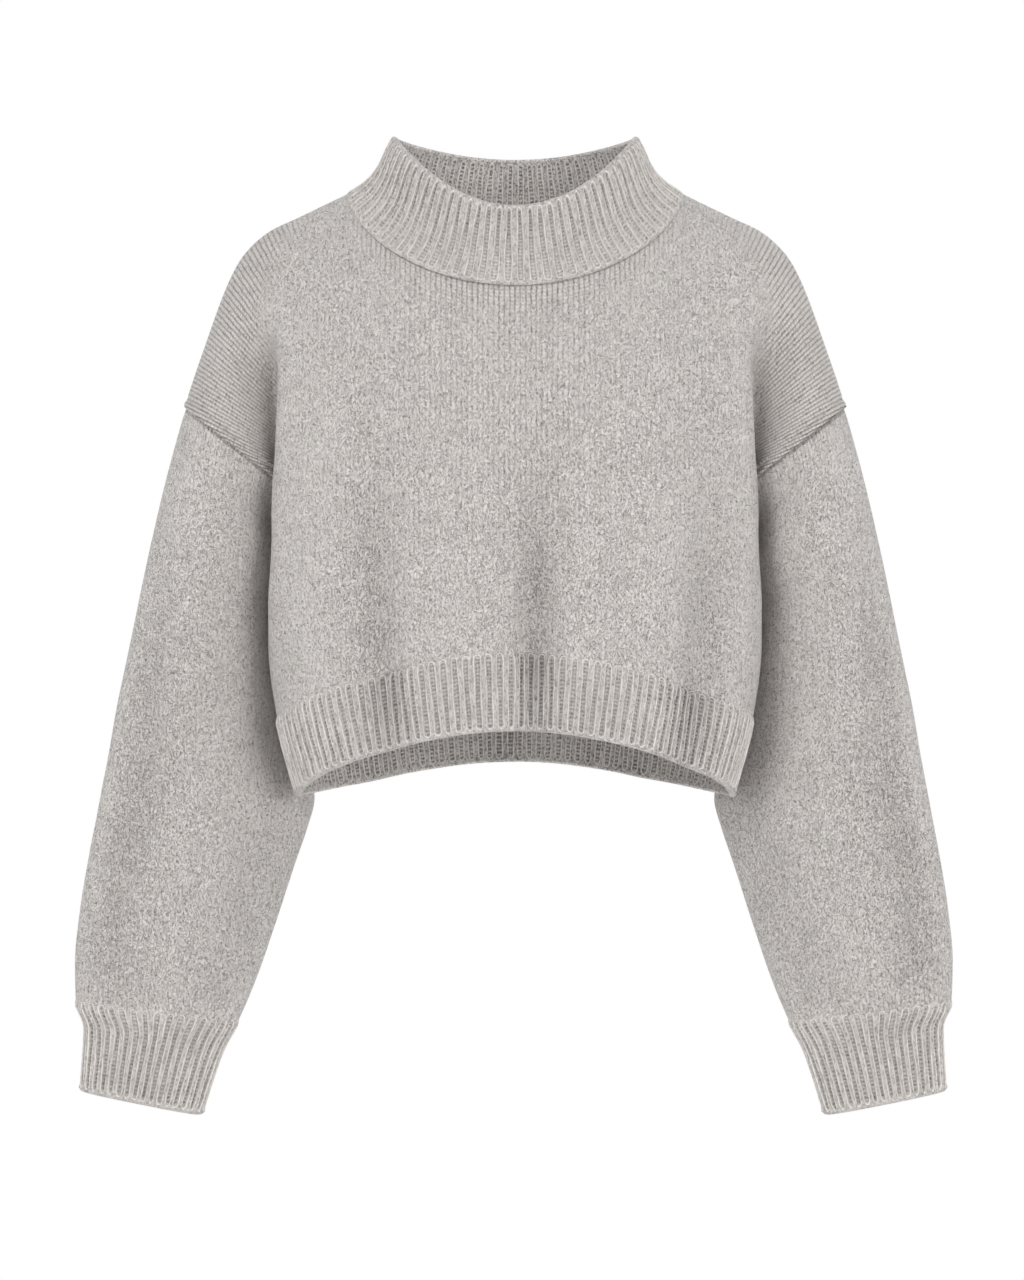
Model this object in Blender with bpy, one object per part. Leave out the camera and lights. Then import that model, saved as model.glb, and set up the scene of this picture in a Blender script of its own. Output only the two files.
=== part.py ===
"""Cropped knit sweater, standing open as it is worn, with no wearer in it.

Metres, +Z up. The front faces -Y and the wearer's left side is at +X. The origin lies in the
middle of the neck, just below the two points where the shoulder seams meet the collar. The side
seams, the shoulder seams and the tops and bottoms of both armholes lie in the plane Y = 0.

Every piece is one closed wall of cloth: a grid bent over an outer surface, the same grid bent
over an inner one, and the rims between them. Front and back share the surface `body`, whose
`across` runs from -1 to 1 between the edges of a panel and whose `along` runs down the knit:
0 at neck and shoulder, UNDERARM at the foot of the armhole, 1 at the hem rib's seam and HEM_END
at its edge. Each sleeve and cuff share the surface `sleeve`, whose `around` runs from 0 at the
armhole's top over the front to 1 at the underarm and over the back to 2, and whose `along` is 1
at the cuff's seam and CUFF_END at its edge. The collar has its own surface.
"""

from collections import namedtuple
import math

import bmesh
import bpy
import numpy as np

# Cloth
WALL = 0.0024
RIB_RELIEF = 0.0016
RIB_SINK = 0.0006
SEAM_GAP = 0.0003
SLEEVE_INSET = {"top": 0.975, "underarm": 0.950}  # as a share of the armhole over it
SLEEVE_INSET_FOCUS = 4  # higher keeps the underarm's inset nearer the underarm

# Neck and collar
NECK_HALF_WIDTH = 0.1255
NECK_SIDE_HEIGHT = 0.0085
NECK_DIP = {"front": 0.0742, "back": 0.0300}
NECK_DEPTH = {"front": 0.097, "back": 0.090}
NECK_ARCH = 1.25
RIM_HALF_WIDTH = 0.0895
RIM_DEPTH = {"front": 0.068, "back": 0.068}
RIM_SIDE_HEIGHT = 0.051
RIM_DIP = {"front": 0.0572, "back": 0.0103}
RIM_ARCH = {"front": 1.85, "back": 2.4}
COLLAR_BOW = 0.0075  # how far the collar hollows in, a third of the way up
NECK_LEAN = {"middle": 0.45, "side": 1.30}  # how steeply the seam's cut edges face upward

# Armhole: a leaning hoop from the shoulder seam's tip to the underarm
ARMHOLE_TOP = np.array([0.2475, 0.0, -0.152])
UNDERARM_POINT = np.array([0.160, 0.0, -0.2205])
ARMHOLE_FULLNESS = {"front": 0.089, "back": 0.094}
UNDERARM_FULLNESS = 0.072
UNDERARM_POINTING = 0.045
MOUTH_END = 0.18  # along a sleeve, where it no longer follows the armhole
MOUTH_GAP_END = 0.1

SIDE_PLANE = np.array([0.0, 1.0, 0.0])  # square to the plane of the side and shoulder seams

# Stations along and across the surfaces
UNDERARM = 0.5
HEM_END = 1.24
CUFF_END = 1.18
NECK_SHARE = 0.5  # of half a panel's width
PINCH_SPREAD = 0.13
RIDGE_ACROSS = 0.76
RIDGE_SPREAD = 0.10
ARM_START = 0.66  # where a panel's wales begin to lean toward the armhole
EVENING = {"body": 0.19, "sleeve": -0.10, "cuff": 0.40}
SQUARENESS = {"body": 0.08, "sleeve": 0.03, "cuff": 0.12}

# Ribs
COLLAR_RIBS = 72
HEM_RIBS = 110
CUFF_RIBS = 30

# Faces of each piece
NECK_COLUMNS = 9
SHOULDER_COLUMNS = 14
COLUMN_CROWDING = 0.35  # how much closer the shoulder's columns lie by the fold of the arm
CROWDED_AT = 0.6  # of the way along the shoulder
ARMHOLE_ROWS = 12
SIDE_ROWS = 5
SLEEVE_ROWS = 16
COLLAR_ROWS = 3
HEM_ROWS = 2
CUFF_ROWS = 3

EDGE_TRIM = 0.0008  # of a panel's width or length, which leaves half a seam's gap
COLLAR_TRIM = 0.005
CUFF_TRIM = 0.0011

Shoulder = namedtuple("Shoulder", "along out height")
SHOULDER_LINE = (
    Shoulder(0.00, 0.1255, 0.0085),
    Shoulder(0.19, 0.1615, -0.0090),
    Shoulder(0.31, 0.1850, -0.0205),
    Shoulder(0.43, 0.2040, -0.0385),
    Shoulder(0.53, 0.2145, -0.0570),
    Shoulder(0.68, 0.2256, -0.0860),
    Shoulder(0.82, 0.2361, -0.1155),
    Shoulder(1.00, 0.2475, -0.1520),
)

# How a line of stitches leaves the shoulder and comes down to the underarm's row
Wale = namedtuple("Wale", "across reach dip rise back")
WALES = (
    Wale(0.00, 0.050, 64.0, 0.050, 0.000),
    Wale(0.17, 0.050, 60.5, 0.070, 0.000),
    Wale(0.33, 0.050, 50.0, 0.095, 0.000),
    Wale(0.44, 0.057, 33.0, 0.107, 0.000),
    Wale(0.50, 0.064, 21.0, 0.116, 0.000),
    Wale(0.62, 0.062, 10.0, 0.112, 0.000),
    Wale(0.75, 0.066, 0.0, 0.095, 0.005),
    Wale(1.00, 0.089, 0.0, 0.000, 0.072),
)

# Level sections of the body. The lifts are how far the row's middle rises over its sides.
Section = namedtuple(
    "Section",
    "along drop half_width front back front_lift back_lift front_arch back_arch pinch peak ridge",
)
SECTIONS = (
    Section(0.50, 0.240, 0.1825, 0.125, 0.108, 0.0000, 0.0000, 2.0, 2.0, 0.0225, 0.0195, 0.003),
    Section(0.68, 0.290, 0.1820, 0.125, 0.108, 0.0120, 0.0060, 2.0, 2.0, 0.0060, 0.0040, 0.003),
    Section(0.84, 0.337, 0.1825, 0.122, 0.107, 0.0280, 0.0140, 2.2, 2.0, 0.0000, 0.0000, 0.001),
    Section(1.00, 0.383, 0.1785, 0.117, 0.108, 0.0480, 0.0255, 2.4, 2.6, 0.0000, 0.0000, 0.000),
    Section(1.24, 0.444, 0.1630, 0.100, 0.102, 0.0510, 0.0240, 1.95, 3.5, 0.0000, 0.0000, 0.000),
)

# The fold between chest and arm, which runs from the shoulder down into the underarm. The cloth
# goes back by its depth and in under the chest by its tuck.
Crease = namedtuple("Crease", "along across depth tuck")
ARM_CREASE = (
    Crease(0.06, 0.730, 0.000, 0.0000),
    Crease(0.14, 0.735, 0.003, 0.0000),
    Crease(0.20, 0.742, 0.009, 0.0010),
    Crease(0.25, 0.748, 0.018, 0.0060),
    Crease(0.29, 0.760, 0.026, 0.0125),
    Crease(0.33, 0.782, 0.028, 0.0130),
    Crease(0.40, 0.840, 0.028, 0.0100),
    Crease(0.45, 0.900, 0.018, 0.0050),
    Crease(0.50, 0.950, 0.000, 0.0000),
)
ARM_CREASE_SPREAD = 0.060
ARM_CREASE_SHARE = {"front": 1.0, "back": 0.8}
ARM_CREASE_END = (0.84, 0.97)  # across, where it fades out short of the armhole

# Soft troughs that hang down the body, by panel
Trough = namedtuple("Trough", "panel across spread depth start full")
BODY_TROUGHS = (
    Trough("front", -0.41, 0.060, 0.0050, 0.42, 0.80),
    Trough("front", 0.07, 0.055, 0.0065, 0.35, 0.90),
    Trough("front", 0.57, 0.065, 0.0045, 0.45, 0.85),
    Trough("back", -0.50, 0.070, 0.0050, 0.40, 0.85),
    Trough("back", -0.04, 0.060, 0.0060, 0.30, 0.85),
    Trough("back", 0.44, 0.060, 0.0045, 0.45, 0.90),
)
TROUGH_LOSS = 0.5  # the share of a trough that the hem rib draws flat

# Sections of a sleeve: its outer and inner edge as seen from the front, how far back each edge
# lies, and half the sleeve's depth between them. The inner edge tucks in behind the body.
Ring = namedtuple(
    "Ring", "along outer_x outer_z outer_back inner_x inner_z inner_back half_depth flatness"
)
SLEEVE_RINGS = (
    Ring(0.00, 0.2475, -0.1520, 0.000, 0.1600, -0.2205, 0.000, 0.067, 0.0),
    Ring(0.10, 0.2585, -0.1930, 0.002, 0.1745, -0.2500, 0.016, 0.066, 0.0),
    Ring(0.25, 0.2752, -0.2640, 0.004, 0.1823, -0.2980, 0.042, 0.064, 0.0),
    Ring(0.42, 0.2907, -0.3380, 0.006, 0.1770, -0.3600, 0.057, 0.062, 0.0),
    Ring(0.52, 0.2997, -0.3800, 0.010, 0.1650, -0.4060, 0.070, 0.060, 0.0),
    Ring(0.60, 0.3062, -0.4160, 0.014, 0.1555, -0.4320, 0.073, 0.058, 0.0),
    Ring(0.64, 0.3097, -0.4340, 0.014, 0.1528, -0.4480, 0.072, 0.058, 0.0),
    Ring(0.68, 0.3142, -0.4580, 0.014, 0.1582, -0.4700, 0.067, 0.057, 0.0),
    Ring(0.73, 0.3194, -0.4850, 0.013, 0.1662, -0.4940, 0.060, 0.056, 0.0),
    Ring(0.82, 0.3262, -0.5280, 0.010, 0.1809, -0.5410, 0.042, 0.052, 0.1),
    Ring(0.92, 0.3297, -0.5660, 0.008, 0.1938, -0.5800, 0.026, 0.044, 0.4),
    Ring(1.00, 0.3287, -0.5950, 0.005, 0.2064, -0.6110, 0.012, 0.030, 0.8),
    Ring(1.06, 0.3210, -0.6170, 0.004, 0.2185, -0.6335, 0.006, 0.023, 1.0),
    Ring(1.18, 0.3235, -0.6640, 0.002, 0.2347, -0.6820, 0.003, 0.019, 1.0),
)
CUFF_SWING = {1: -0.0010, -1: 0.0010}  # how far out each cuff hangs, past the table

# Soft folds down a sleeve
Fold = namedtuple("Fold", "around spread depth start full end")
SLEEVE_FOLDS = (
    Fold(0.27, 0.10, 0.0060, 0.15, 0.45, 1.02),
    Fold(0.78, 0.10, 0.0050, 0.35, 0.70, 1.02),
    Fold(1.30, 0.11, 0.0050, 0.20, 0.55, 1.02),
    Fold(1.72, 0.10, 0.0060, 0.30, 0.60, 1.02),
)
FOLD_FADE_START = 0.9

OATMEAL = (0.50, 0.47, 0.44, 1.0)
RIB_OATMEAL = (0.47, 0.44, 0.41, 1.0)
WOOL_ROUGHNESS = 0.95
SHARP_ANGLE = 50.0  # degrees


def smooth(rows, field, at):
    """Reads a table's field at any station, on a cubic that never overshoots its rows."""
    station = np.array([row[0] for row in rows])
    value = np.array([getattr(row, field) for row in rows])
    step = np.diff(station)
    slope = np.diff(value) / step
    product = slope[1:] * slope[:-1]
    total = slope[1:] + slope[:-1]
    same_way = product > 0
    inner = np.where(same_way, 2 * product / np.where(same_way, total, 1.0), 0.0)
    tangent = np.concatenate(([slope[0]], inner, [slope[-1]]))
    at = np.clip(at, station[0], station[-1])
    low = np.clip(np.searchsorted(station, at, side="right") - 1, 0, len(step) - 1)
    t = (at - station[low]) / step[low]
    return (
        (1 + 2 * t) * (1 - t) ** 2 * value[low]
        + t * (1 - t) ** 2 * step[low] * tangent[low]
        + t * t * (3 - 2 * t) * value[low + 1]
        + t * t * (t - 1) * step[low] * tangent[low + 1]
    )


def ease(at, start, full):
    """0 before start, 1 after full, and a soft ramp between them."""
    t = np.clip((at - start) / (full - start), 0.0, 1.0)
    return t * t * (3 - 2 * t)


def bell(distance, spread):
    """1 at no distance, falling away over a few spreads."""
    return np.exp(-((distance / spread) ** 2))


def unit(vectors):
    """The same directions, each one long."""
    return vectors / np.linalg.norm(vectors, axis=-1, keepdims=True)


def points(x, y, z):
    """One row of three for each point."""
    return np.stack(np.broadcast_arrays(x, y, z), axis=-1)


def pick(sizes, is_front):
    """The front's size where is_front holds, and the back's elsewhere."""
    return np.where(is_front, sizes["front"], sizes["back"])


def bezier(start, leave, arrive, end, t):
    """A cubic through start and end, steered by the two points between."""
    t = np.asarray(t)[..., None]
    return (
        (1 - t) ** 3 * start
        + 3 * t * (1 - t) ** 2 * leave
        + 3 * t * t * (1 - t) * arrive
        + t**3 * end
    )


def neck_seam(turn, is_front):
    """The collar's seam, from turn -1 at one shoulder over the middle to 1 at the other."""
    angle = np.radians(90.0 * turn)
    middle = np.cos(angle)
    y = pick(NECK_DEPTH, is_front) * middle
    return points(
        NECK_HALF_WIDTH * np.sin(angle),
        np.where(is_front, -y, y),
        NECK_SIDE_HEIGHT - pick(NECK_DIP, is_front) * np.maximum(middle, 0.0) ** NECK_ARCH,
    )


def collar_rim(turn, is_front):
    """The collar's upper edge, which dips in front and rises at the sides."""
    angle = np.radians(90.0 * turn)
    middle = np.cos(angle)
    y = pick(RIM_DEPTH, is_front) * middle
    return points(
        RIM_HALF_WIDTH * np.sin(angle),
        np.where(is_front, -y, y),
        RIM_SIDE_HEIGHT
        - pick(RIM_DIP, is_front) * np.maximum(middle, 0.0) ** pick(RIM_ARCH, is_front),
    )


def armhole(down, is_front):
    """Half of the right armhole's hoop, from the shoulder seam at 0 to the underarm at 1."""
    toward = np.where(is_front, -1.0, 1.0)[..., None]
    forward = np.array([0.0, 1.0, 0.0])
    pull = unit(ARMHOLE_TOP - UNDERARM_POINT) * UNDERARM_POINTING
    return bezier(
        ARMHOLE_TOP,
        ARMHOLE_TOP + toward * pick(ARMHOLE_FULLNESS, is_front)[..., None] * forward,
        UNDERARM_POINT + toward * UNDERARM_FULLNESS * forward + pull,
        UNDERARM_POINT,
        down,
    )


def armhole_axis(side):
    """The way a sleeve leaves its armhole, square to the hoop."""
    lean = unit(ARMHOLE_TOP - UNDERARM_POINT)
    return np.array([side * lean[2], 0.0, -lean[0]])


def panel_top(across, is_front):
    """The upper edge of a panel: half the neck's seam and then the shoulder's."""
    side = np.sign(across)
    u = np.abs(across)
    neck = neck_seam(np.clip(across / NECK_SHARE, -1, 1), is_front)
    reach = np.clip((u - NECK_SHARE) / (1 - NECK_SHARE), 0, 1)
    shoulder = points(
        side * smooth(SHOULDER_LINE, "out", reach), 0.0, smooth(SHOULDER_LINE, "height", reach)
    )
    return np.where((u <= NECK_SHARE)[..., None], neck, shoulder)


def torso(across, along, is_front):
    """The body from the underarm's row down to the hem's edge."""
    u = np.abs(across)
    angle = np.radians(90.0 * (u - EVENING["body"] / math.pi * np.sin(math.pi * u)))
    fullness = 1 + SQUARENESS["body"] * np.sin(2 * angle) ** 2
    at_side = bell(1 - u, PINCH_SPREAD)
    depth = np.where(is_front, smooth(SECTIONS, "front", along), smooth(SECTIONS, "back", along))
    lift = np.where(
        is_front, smooth(SECTIONS, "front_lift", along), smooth(SECTIONS, "back_lift", along)
    )
    x = smooth(SECTIONS, "half_width", along) * np.sin(angle) * fullness
    x = x - smooth(SECTIONS, "pinch", along) * at_side
    x = x + smooth(SECTIONS, "ridge", along) * bell(u - RIDGE_ACROSS, RIDGE_SPREAD)
    y = depth * np.cos(angle) * fullness
    z = -smooth(SECTIONS, "drop", along) + smooth(SECTIONS, "peak", along) * at_side
    arch = np.where(
        is_front, smooth(SECTIONS, "front_arch", along), smooth(SECTIONS, "back_arch", along)
    )
    z = z + lift * np.maximum(np.cos(angle), 0.0) ** arch
    return points(np.sign(across) * x, np.where(is_front, -y, y), z)


def cape(across, along, is_front):
    """The body from neck and shoulder down to the underarm's row."""
    side = np.sign(across)
    u = np.abs(across)
    toward = np.where(is_front, -1.0, 1.0)
    top = panel_top(across, is_front)
    foot = torso(across, np.full_like(u, UNDERARM), is_front)
    reach = smooth(WALES, "reach", u)
    dip = np.radians(smooth(WALES, "dip", u))
    leave = top + points(0.0, toward * reach * np.cos(dip), -reach * np.sin(dip))
    arrive = foot + points(0.0, toward * smooth(WALES, "back", u), smooth(WALES, "rise", u))
    down = along / UNDERARM
    sheet = bezier(top, leave, arrive, foot, down)
    hoop = armhole(np.clip(down, 0, 1), is_front)
    hoop = hoop * points(np.where(side == 0, 1.0, side), 1.0, 1.0)
    return sheet + (hoop - sheet) * ease(u, ARM_START, 1.0)[..., None] ** 2


def body(across, along, is_front):
    """Front and back in one formula, with their folds."""
    across, along, is_front = np.broadcast_arrays(across, along, is_front)
    below = (along >= UNDERARM)[..., None]
    place = np.where(
        below,
        torso(across, np.maximum(along, UNDERARM), is_front),
        cape(across, np.minimum(along, UNDERARM), is_front),
    )
    toward = np.where(is_front, -1.0, 1.0)
    u = np.abs(across)
    crease = bell(u - smooth(ARM_CREASE, "across", along), ARM_CREASE_SPREAD)
    crease = crease * pick(ARM_CREASE_SHARE, is_front) * (1 - ease(u, *ARM_CREASE_END))
    back = crease * smooth(ARM_CREASE, "depth", along)
    tuck = crease * smooth(ARM_CREASE, "tuck", along)
    depth = np.zeros_like(u)
    for trough in BODY_TROUGHS:
        here = is_front == (trough.panel == "front")
        fade = ease(along, trough.start, trough.full)
        fade = fade * (1 - TROUGH_LOSS * ease(along, 1.0, HEM_END))
        depth = depth + here * fade * trough.depth * bell(across - trough.across, trough.spread)
    turn = np.radians(90.0 * across)
    inward = points(-np.sin(turn), -toward * np.cos(turn), 0.0)
    return place + points(-np.sign(across) * tuck, -toward * back, 0.0) + depth[..., None] * inward


def sleeve(around, along, side):
    """A sleeve and its cuff, on the side of +X for side 1 and of -X for side -1."""
    around, along = np.broadcast_arrays(around, along)
    flat = smooth(SLEEVE_RINGS, "flatness", along)
    evening = EVENING["sleeve"] * (1 - flat) + EVENING["cuff"] * flat
    square = SQUARENESS["sleeve"] * (1 - flat) + SQUARENESS["cuff"] * flat
    angle = math.pi * around
    angle = angle + 0.5 * evening * np.sin(2 * angle)
    fullness = 1 + square * np.sin(2 * angle) ** 2
    outer, inner = (
        points(*(smooth(SLEEVE_RINGS, f"{edge}_{way}", along) for way in ("x", "back", "z")))
        for edge in ("outer", "inner")
    )
    depth = smooth(SLEEVE_RINGS, "half_depth", along) * fullness * np.sin(angle)
    middle = (outer + inner) / 2
    place = middle + (outer - inner) / 2 * (fullness * np.cos(angle))[..., None]
    place = place - points(0.0, depth, 0.0)
    inward = unit(middle - place)
    for fold in SLEEVE_FOLDS:
        fade = ease(along, fold.start, fold.full) * (1 - ease(along, FOLD_FADE_START, fold.end))
        off = np.abs((around - fold.around + 1) % 2 - 1)
        place = place + inward * (fade * fold.depth * bell(off, fold.spread))[..., None]
    is_front = around <= 1
    hoop = armhole(np.where(is_front, around, 2 - around), is_front)
    hub = (ARMHOLE_TOP + UNDERARM_POINT) / 2
    low = (0.5 - 0.5 * np.cos(math.pi * around)) ** SLEEVE_INSET_FOCUS
    inset = SLEEVE_INSET["top"] * (1 - low) + SLEEVE_INSET["underarm"] * low
    hoop = hub + (hoop - hub) * inset[..., None]
    start = smooth(SLEEVE_RINGS, "half_depth", np.zeros_like(along)) * np.sin(math.pi * around)
    mouth = hub - points(0.0, start, 0.0)
    mouth = mouth + (ARMHOLE_TOP - UNDERARM_POINT) / 2 * np.cos(math.pi * around)[..., None]
    fade = (1 - ease(along, 0.0, MOUTH_END))[..., None]
    place = place + (hoop - mouth) * fade + points(CUFF_SWING[side] * along**2, 0.0, 0.0)
    return place * np.array([side, 1.0, 1.0])


def collar(turn, up, is_front):
    """The collar, from its seam at 0 to its rim at 1."""
    seam = neck_seam(turn, is_front)
    rim = collar_rim(turn, is_front)
    up = np.asarray(up)[..., None]
    inward = -unit(seam * np.array([1.0, 1.0, 0.0]))
    bow = COLLAR_BOW * up * (1 - up) ** 2 / (4 / 27)  # that product peaks at 4 / 27
    return seam + (rim - seam) * up + inward * bow


def outward(surface, a, b, a_limits, b_limits):
    """Which way a surface faces at (a, b), from points close by that stay within its limits."""
    near = 1e-3
    a_low, a_high = np.clip(a - near, *a_limits), np.clip(a + near, *a_limits)
    b_low, b_high = np.clip(b - near, *b_limits), np.clip(b + near, *b_limits)
    along_a = surface(a_high, b) - surface(a_low, b)
    along_b = surface(a, b_high) - surface(a, b_low)
    return unit(np.cross(along_b, along_a))


def in_plane(directions, axis):
    """The same directions, laid into the plane square to axis."""
    return unit(directions - (directions @ axis)[..., None] * axis)


def body_facing(across, along, is_front):
    """Which way the cloth of a panel faces. Along an armhole it lies in the hoop's plane."""

    def sheet(a, b):
        return body(a, b, is_front)

    facing = outward(sheet, across, along, (-1.0, 1.0), (0.0, HEM_END))
    facing = facing * np.where(is_front, 1.0, -1.0)[..., None]
    at_hoop = (np.abs(across) > 1 - 2 * EDGE_TRIM) & (along <= UNDERARM)
    for side in (-1.0, 1.0):
        here = at_hoop & (np.sign(across) == side)
        facing = np.where(here[..., None], in_plane(facing, armhole_axis(side)), facing)
    at_seam = (along < 2 * EDGE_TRIM) & (np.abs(across) > NECK_SHARE)
    at_seam = at_seam | (np.abs(across) > 1 - 2 * EDGE_TRIM) & (along > UNDERARM)
    facing = np.where(at_seam[..., None], in_plane(facing, SIDE_PLANE), facing)
    at_neck = (along < 2 * EDGE_TRIM) & (np.abs(across) <= NECK_SHARE)
    neck = neck_facing(np.clip(across / NECK_SHARE, -1, 1), is_front)
    return np.where(at_neck[..., None], neck, facing)


def neck_facing(turn, is_front):
    """Which way the cut edges face along the collar's seam, midway between collar and body."""
    seam = neck_seam(turn, is_front)
    level = unit(seam * np.array([1.0, 1.0, 0.0]))
    to_side = np.sin(np.radians(90.0 * turn)) ** 2
    lean = NECK_LEAN["middle"] * (1 - to_side) + NECK_LEAN["side"] * to_side
    return unit(level + points(0.0, 0.0, lean))


def ribs(station, count, total):
    """1 on the crest of each rib and 0 in the groove between two."""
    return 0.5 + 0.5 * np.cos(2 * math.pi * count * station / total)


def strips(surface, stations):
    """The same surface as flat strips between stations, where a neighbour has its columns."""

    def flat(a, b):
        low = np.clip(np.searchsorted(stations, a, side="right") - 1, 0, len(stations) - 2)
        share = ((a - stations[low]) / (stations[low + 1] - stations[low]))[..., None]
        return surface(stations[low], b) * (1 - share) + surface(stations[low + 1], b) * share

    return flat


def wool(name, colour):
    """A dull woollen finish."""
    finish = bpy.data.materials.new(name)
    finish.use_nodes = True
    shader = finish.node_tree.nodes["Principled BSDF"]
    shader.inputs["Base Color"].default_value = colour
    shader.inputs["Roughness"].default_value = WOOL_ROUGHNESS
    shader.inputs["Metallic"].default_value = 0.0
    return finish


def cloth_wall(name, columns, rows, outer, inner, colour):
    """Builds one piece: a grid on `outer`, its twin on `inner`, and the rims between them.

    Columns and rows are the stations of the grid's lines. A grid whose first and last columns
    fall together is closed there into a tube.
    """
    sheet = bmesh.new()
    across, down = len(columns) - 1, len(rows) - 1
    bmesh.ops.create_grid(sheet, x_segments=across, y_segments=down, size=0.5)
    column = sheet.verts.layers.int.new("column")
    row = sheet.verts.layers.int.new("row")
    for vert in sheet.verts:
        vert[column] = round((vert.co.x + 0.5) * across)
        vert[row] = round((vert.co.y + 0.5) * down)

    def lay(verts, surface):
        a = columns[[vert[column] for vert in verts]]
        b = rows[[vert[row] for vert in verts]]
        for vert, place in zip(verts, surface(a, b)):
            vert.co = place

    lay(sheet.verts, outer)
    bmesh.ops.remove_doubles(sheet, verts=sheet.verts, dist=1e-6)
    facing = list(sheet.verts)
    everything = list(sheet.verts) + list(sheet.edges) + list(sheet.faces)
    bmesh.ops.extrude_face_region(sheet, geom=everything, use_keep_orig=True)
    known = set(facing)
    lay([vert for vert in sheet.verts if vert not in known], inner)
    bmesh.ops.recalc_face_normals(sheet, faces=sheet.faces)
    bmesh.ops.triangulate(sheet, faces=sheet.faces, quad_method="SHORT_EDGE")
    mesh = bpy.data.meshes.new(name)
    sheet.to_mesh(mesh)
    sheet.free()
    mesh.materials.append(wool(name + "_wool", colour))
    mesh.shade_smooth()
    mesh.set_sharp_from_angle(angle=math.radians(SHARP_ANGLE))
    piece = bpy.data.objects.new(name, mesh)
    bpy.context.scene.collection.objects.link(piece)
    return piece


def half_stations():
    """Columns of half a panel, with one at the point where neck and shoulder meet."""
    neck = np.linspace(0.0, NECK_SHARE, NECK_COLUMNS + 1)
    way = np.linspace(0.0, 1.0, SHOULDER_COLUMNS + 1)
    bend = np.sin(2 * math.pi * (way + 0.5 - CROWDED_AT)) - math.sin(2 * math.pi * (0.5 - CROWDED_AT))
    way = way + COLUMN_CROWDING / (2 * math.pi) * bend
    return np.concatenate((neck, NECK_SHARE + (1 - NECK_SHARE) * way[1:]))


def panel_stations():
    """Columns of a whole panel, from edge to edge."""
    half = half_stations()
    return np.concatenate((-half[:0:-1], half))


def body_turn(turn):
    """Across and front-or-back of a place round the body, -1 to 1 in front and 1 to 3 behind."""
    is_front = turn <= 1
    return np.where(is_front, turn, 2 - turn), is_front


def round_body(surface):
    """A panel's surface, read by how far round the body a place is."""

    def placed(turn, along):
        across, is_front = body_turn(turn)
        return surface(across, along, is_front)

    return placed


def make_panel(name, is_front):
    """The front or the back, cut from shoulder to hem rib."""
    columns = np.clip(panel_stations(), -1 + EDGE_TRIM, 1 - EDGE_TRIM)
    upper = np.linspace(0.0, UNDERARM, ARMHOLE_ROWS + 1)
    lower = np.linspace(UNDERARM, 1.0, SIDE_ROWS + 1)
    rows = np.clip(np.concatenate((upper, lower[1:])), EDGE_TRIM, 1 - EDGE_TRIM)

    def outer(across, along):
        return body(across, along, np.full(across.shape, is_front))

    def inner(across, along):
        facing = body_facing(across, along, np.full(across.shape, is_front))
        return outer(across, along) - WALL * facing

    return cloth_wall(name, columns, rows, outer, inner, OATMEAL)


def make_hem():
    """The ribbed band round the body's lower edge."""
    panel = panel_stations()
    stations = np.concatenate((panel, 2 + panel[1:]))
    turns = np.linspace(-1.0, 3.0, 2 * HEM_RIBS + 1)
    rows = np.linspace(1 + EDGE_TRIM, HEM_END, HEM_ROWS + 1)
    plain = strips(round_body(body), stations)
    facing = strips(round_body(body_facing), stations)

    def outer(turn, along):
        raised = RIB_RELIEF * ribs(turn + 1, HEM_RIBS, 4.0) - RIB_SINK
        return plain(turn, along) + raised[..., None] * facing(turn, along)

    def inner(turn, along):
        return plain(turn, along) - WALL * facing(turn, along)

    return cloth_wall("hem_rib", turns, rows, outer, inner, RIB_OATMEAL)


def make_collar():
    """The ribbed funnel collar."""
    quarter = half_stations()[: NECK_COLUMNS + 1] / NECK_SHARE
    half = np.concatenate((-quarter[:0:-1], quarter))
    stations = np.concatenate((half, 2 + half[1:]))
    turns = np.linspace(-1.0, 3.0, 2 * COLLAR_RIBS + 1)
    rows = np.linspace(COLLAR_TRIM, 1.0, COLLAR_ROWS + 1)
    plain = strips(round_body(collar), stations)

    def face(turn, up):
        across, is_front = body_turn(turn)
        tube = outward(lambda a, b: collar(a, b, is_front), across, up, (-1.0, 1.0), (0.0, 1.0))
        tube = tube * np.where(is_front, -1.0, 1.0)[..., None]
        at_side = (np.abs(across) > 1 - 2 * EDGE_TRIM)[..., None]
        tube = np.where(at_side, in_plane(tube, SIDE_PLANE), tube)
        at_seam = (up < 2 * COLLAR_TRIM)[..., None]
        return np.where(at_seam, neck_facing(across, is_front), tube)

    facing = strips(face, stations)

    def outer(turn, up):
        raised = RIB_RELIEF * ribs(turn + 1, COLLAR_RIBS, 4.0) - RIB_SINK
        return plain(turn, up) + raised[..., None] * facing(turn, up)

    def inner(turn, up):
        return plain(turn, up) - WALL * facing(turn, up)

    return cloth_wall("collar", turns, rows, outer, inner, RIB_OATMEAL)


def sleeve_facing(around, along, side):
    """Which way a sleeve's cloth faces. At its mouth it lies in the hoop's plane."""
    tube = outward(lambda a, b: sleeve(a, b, side), around, along, (-1.0, 3.0), (0.0, CUFF_END))
    tube = tube * -side
    at_mouth = (along < CUFF_TRIM)[..., None]
    return np.where(at_mouth, in_plane(tube, armhole_axis(side)), tube)


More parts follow.
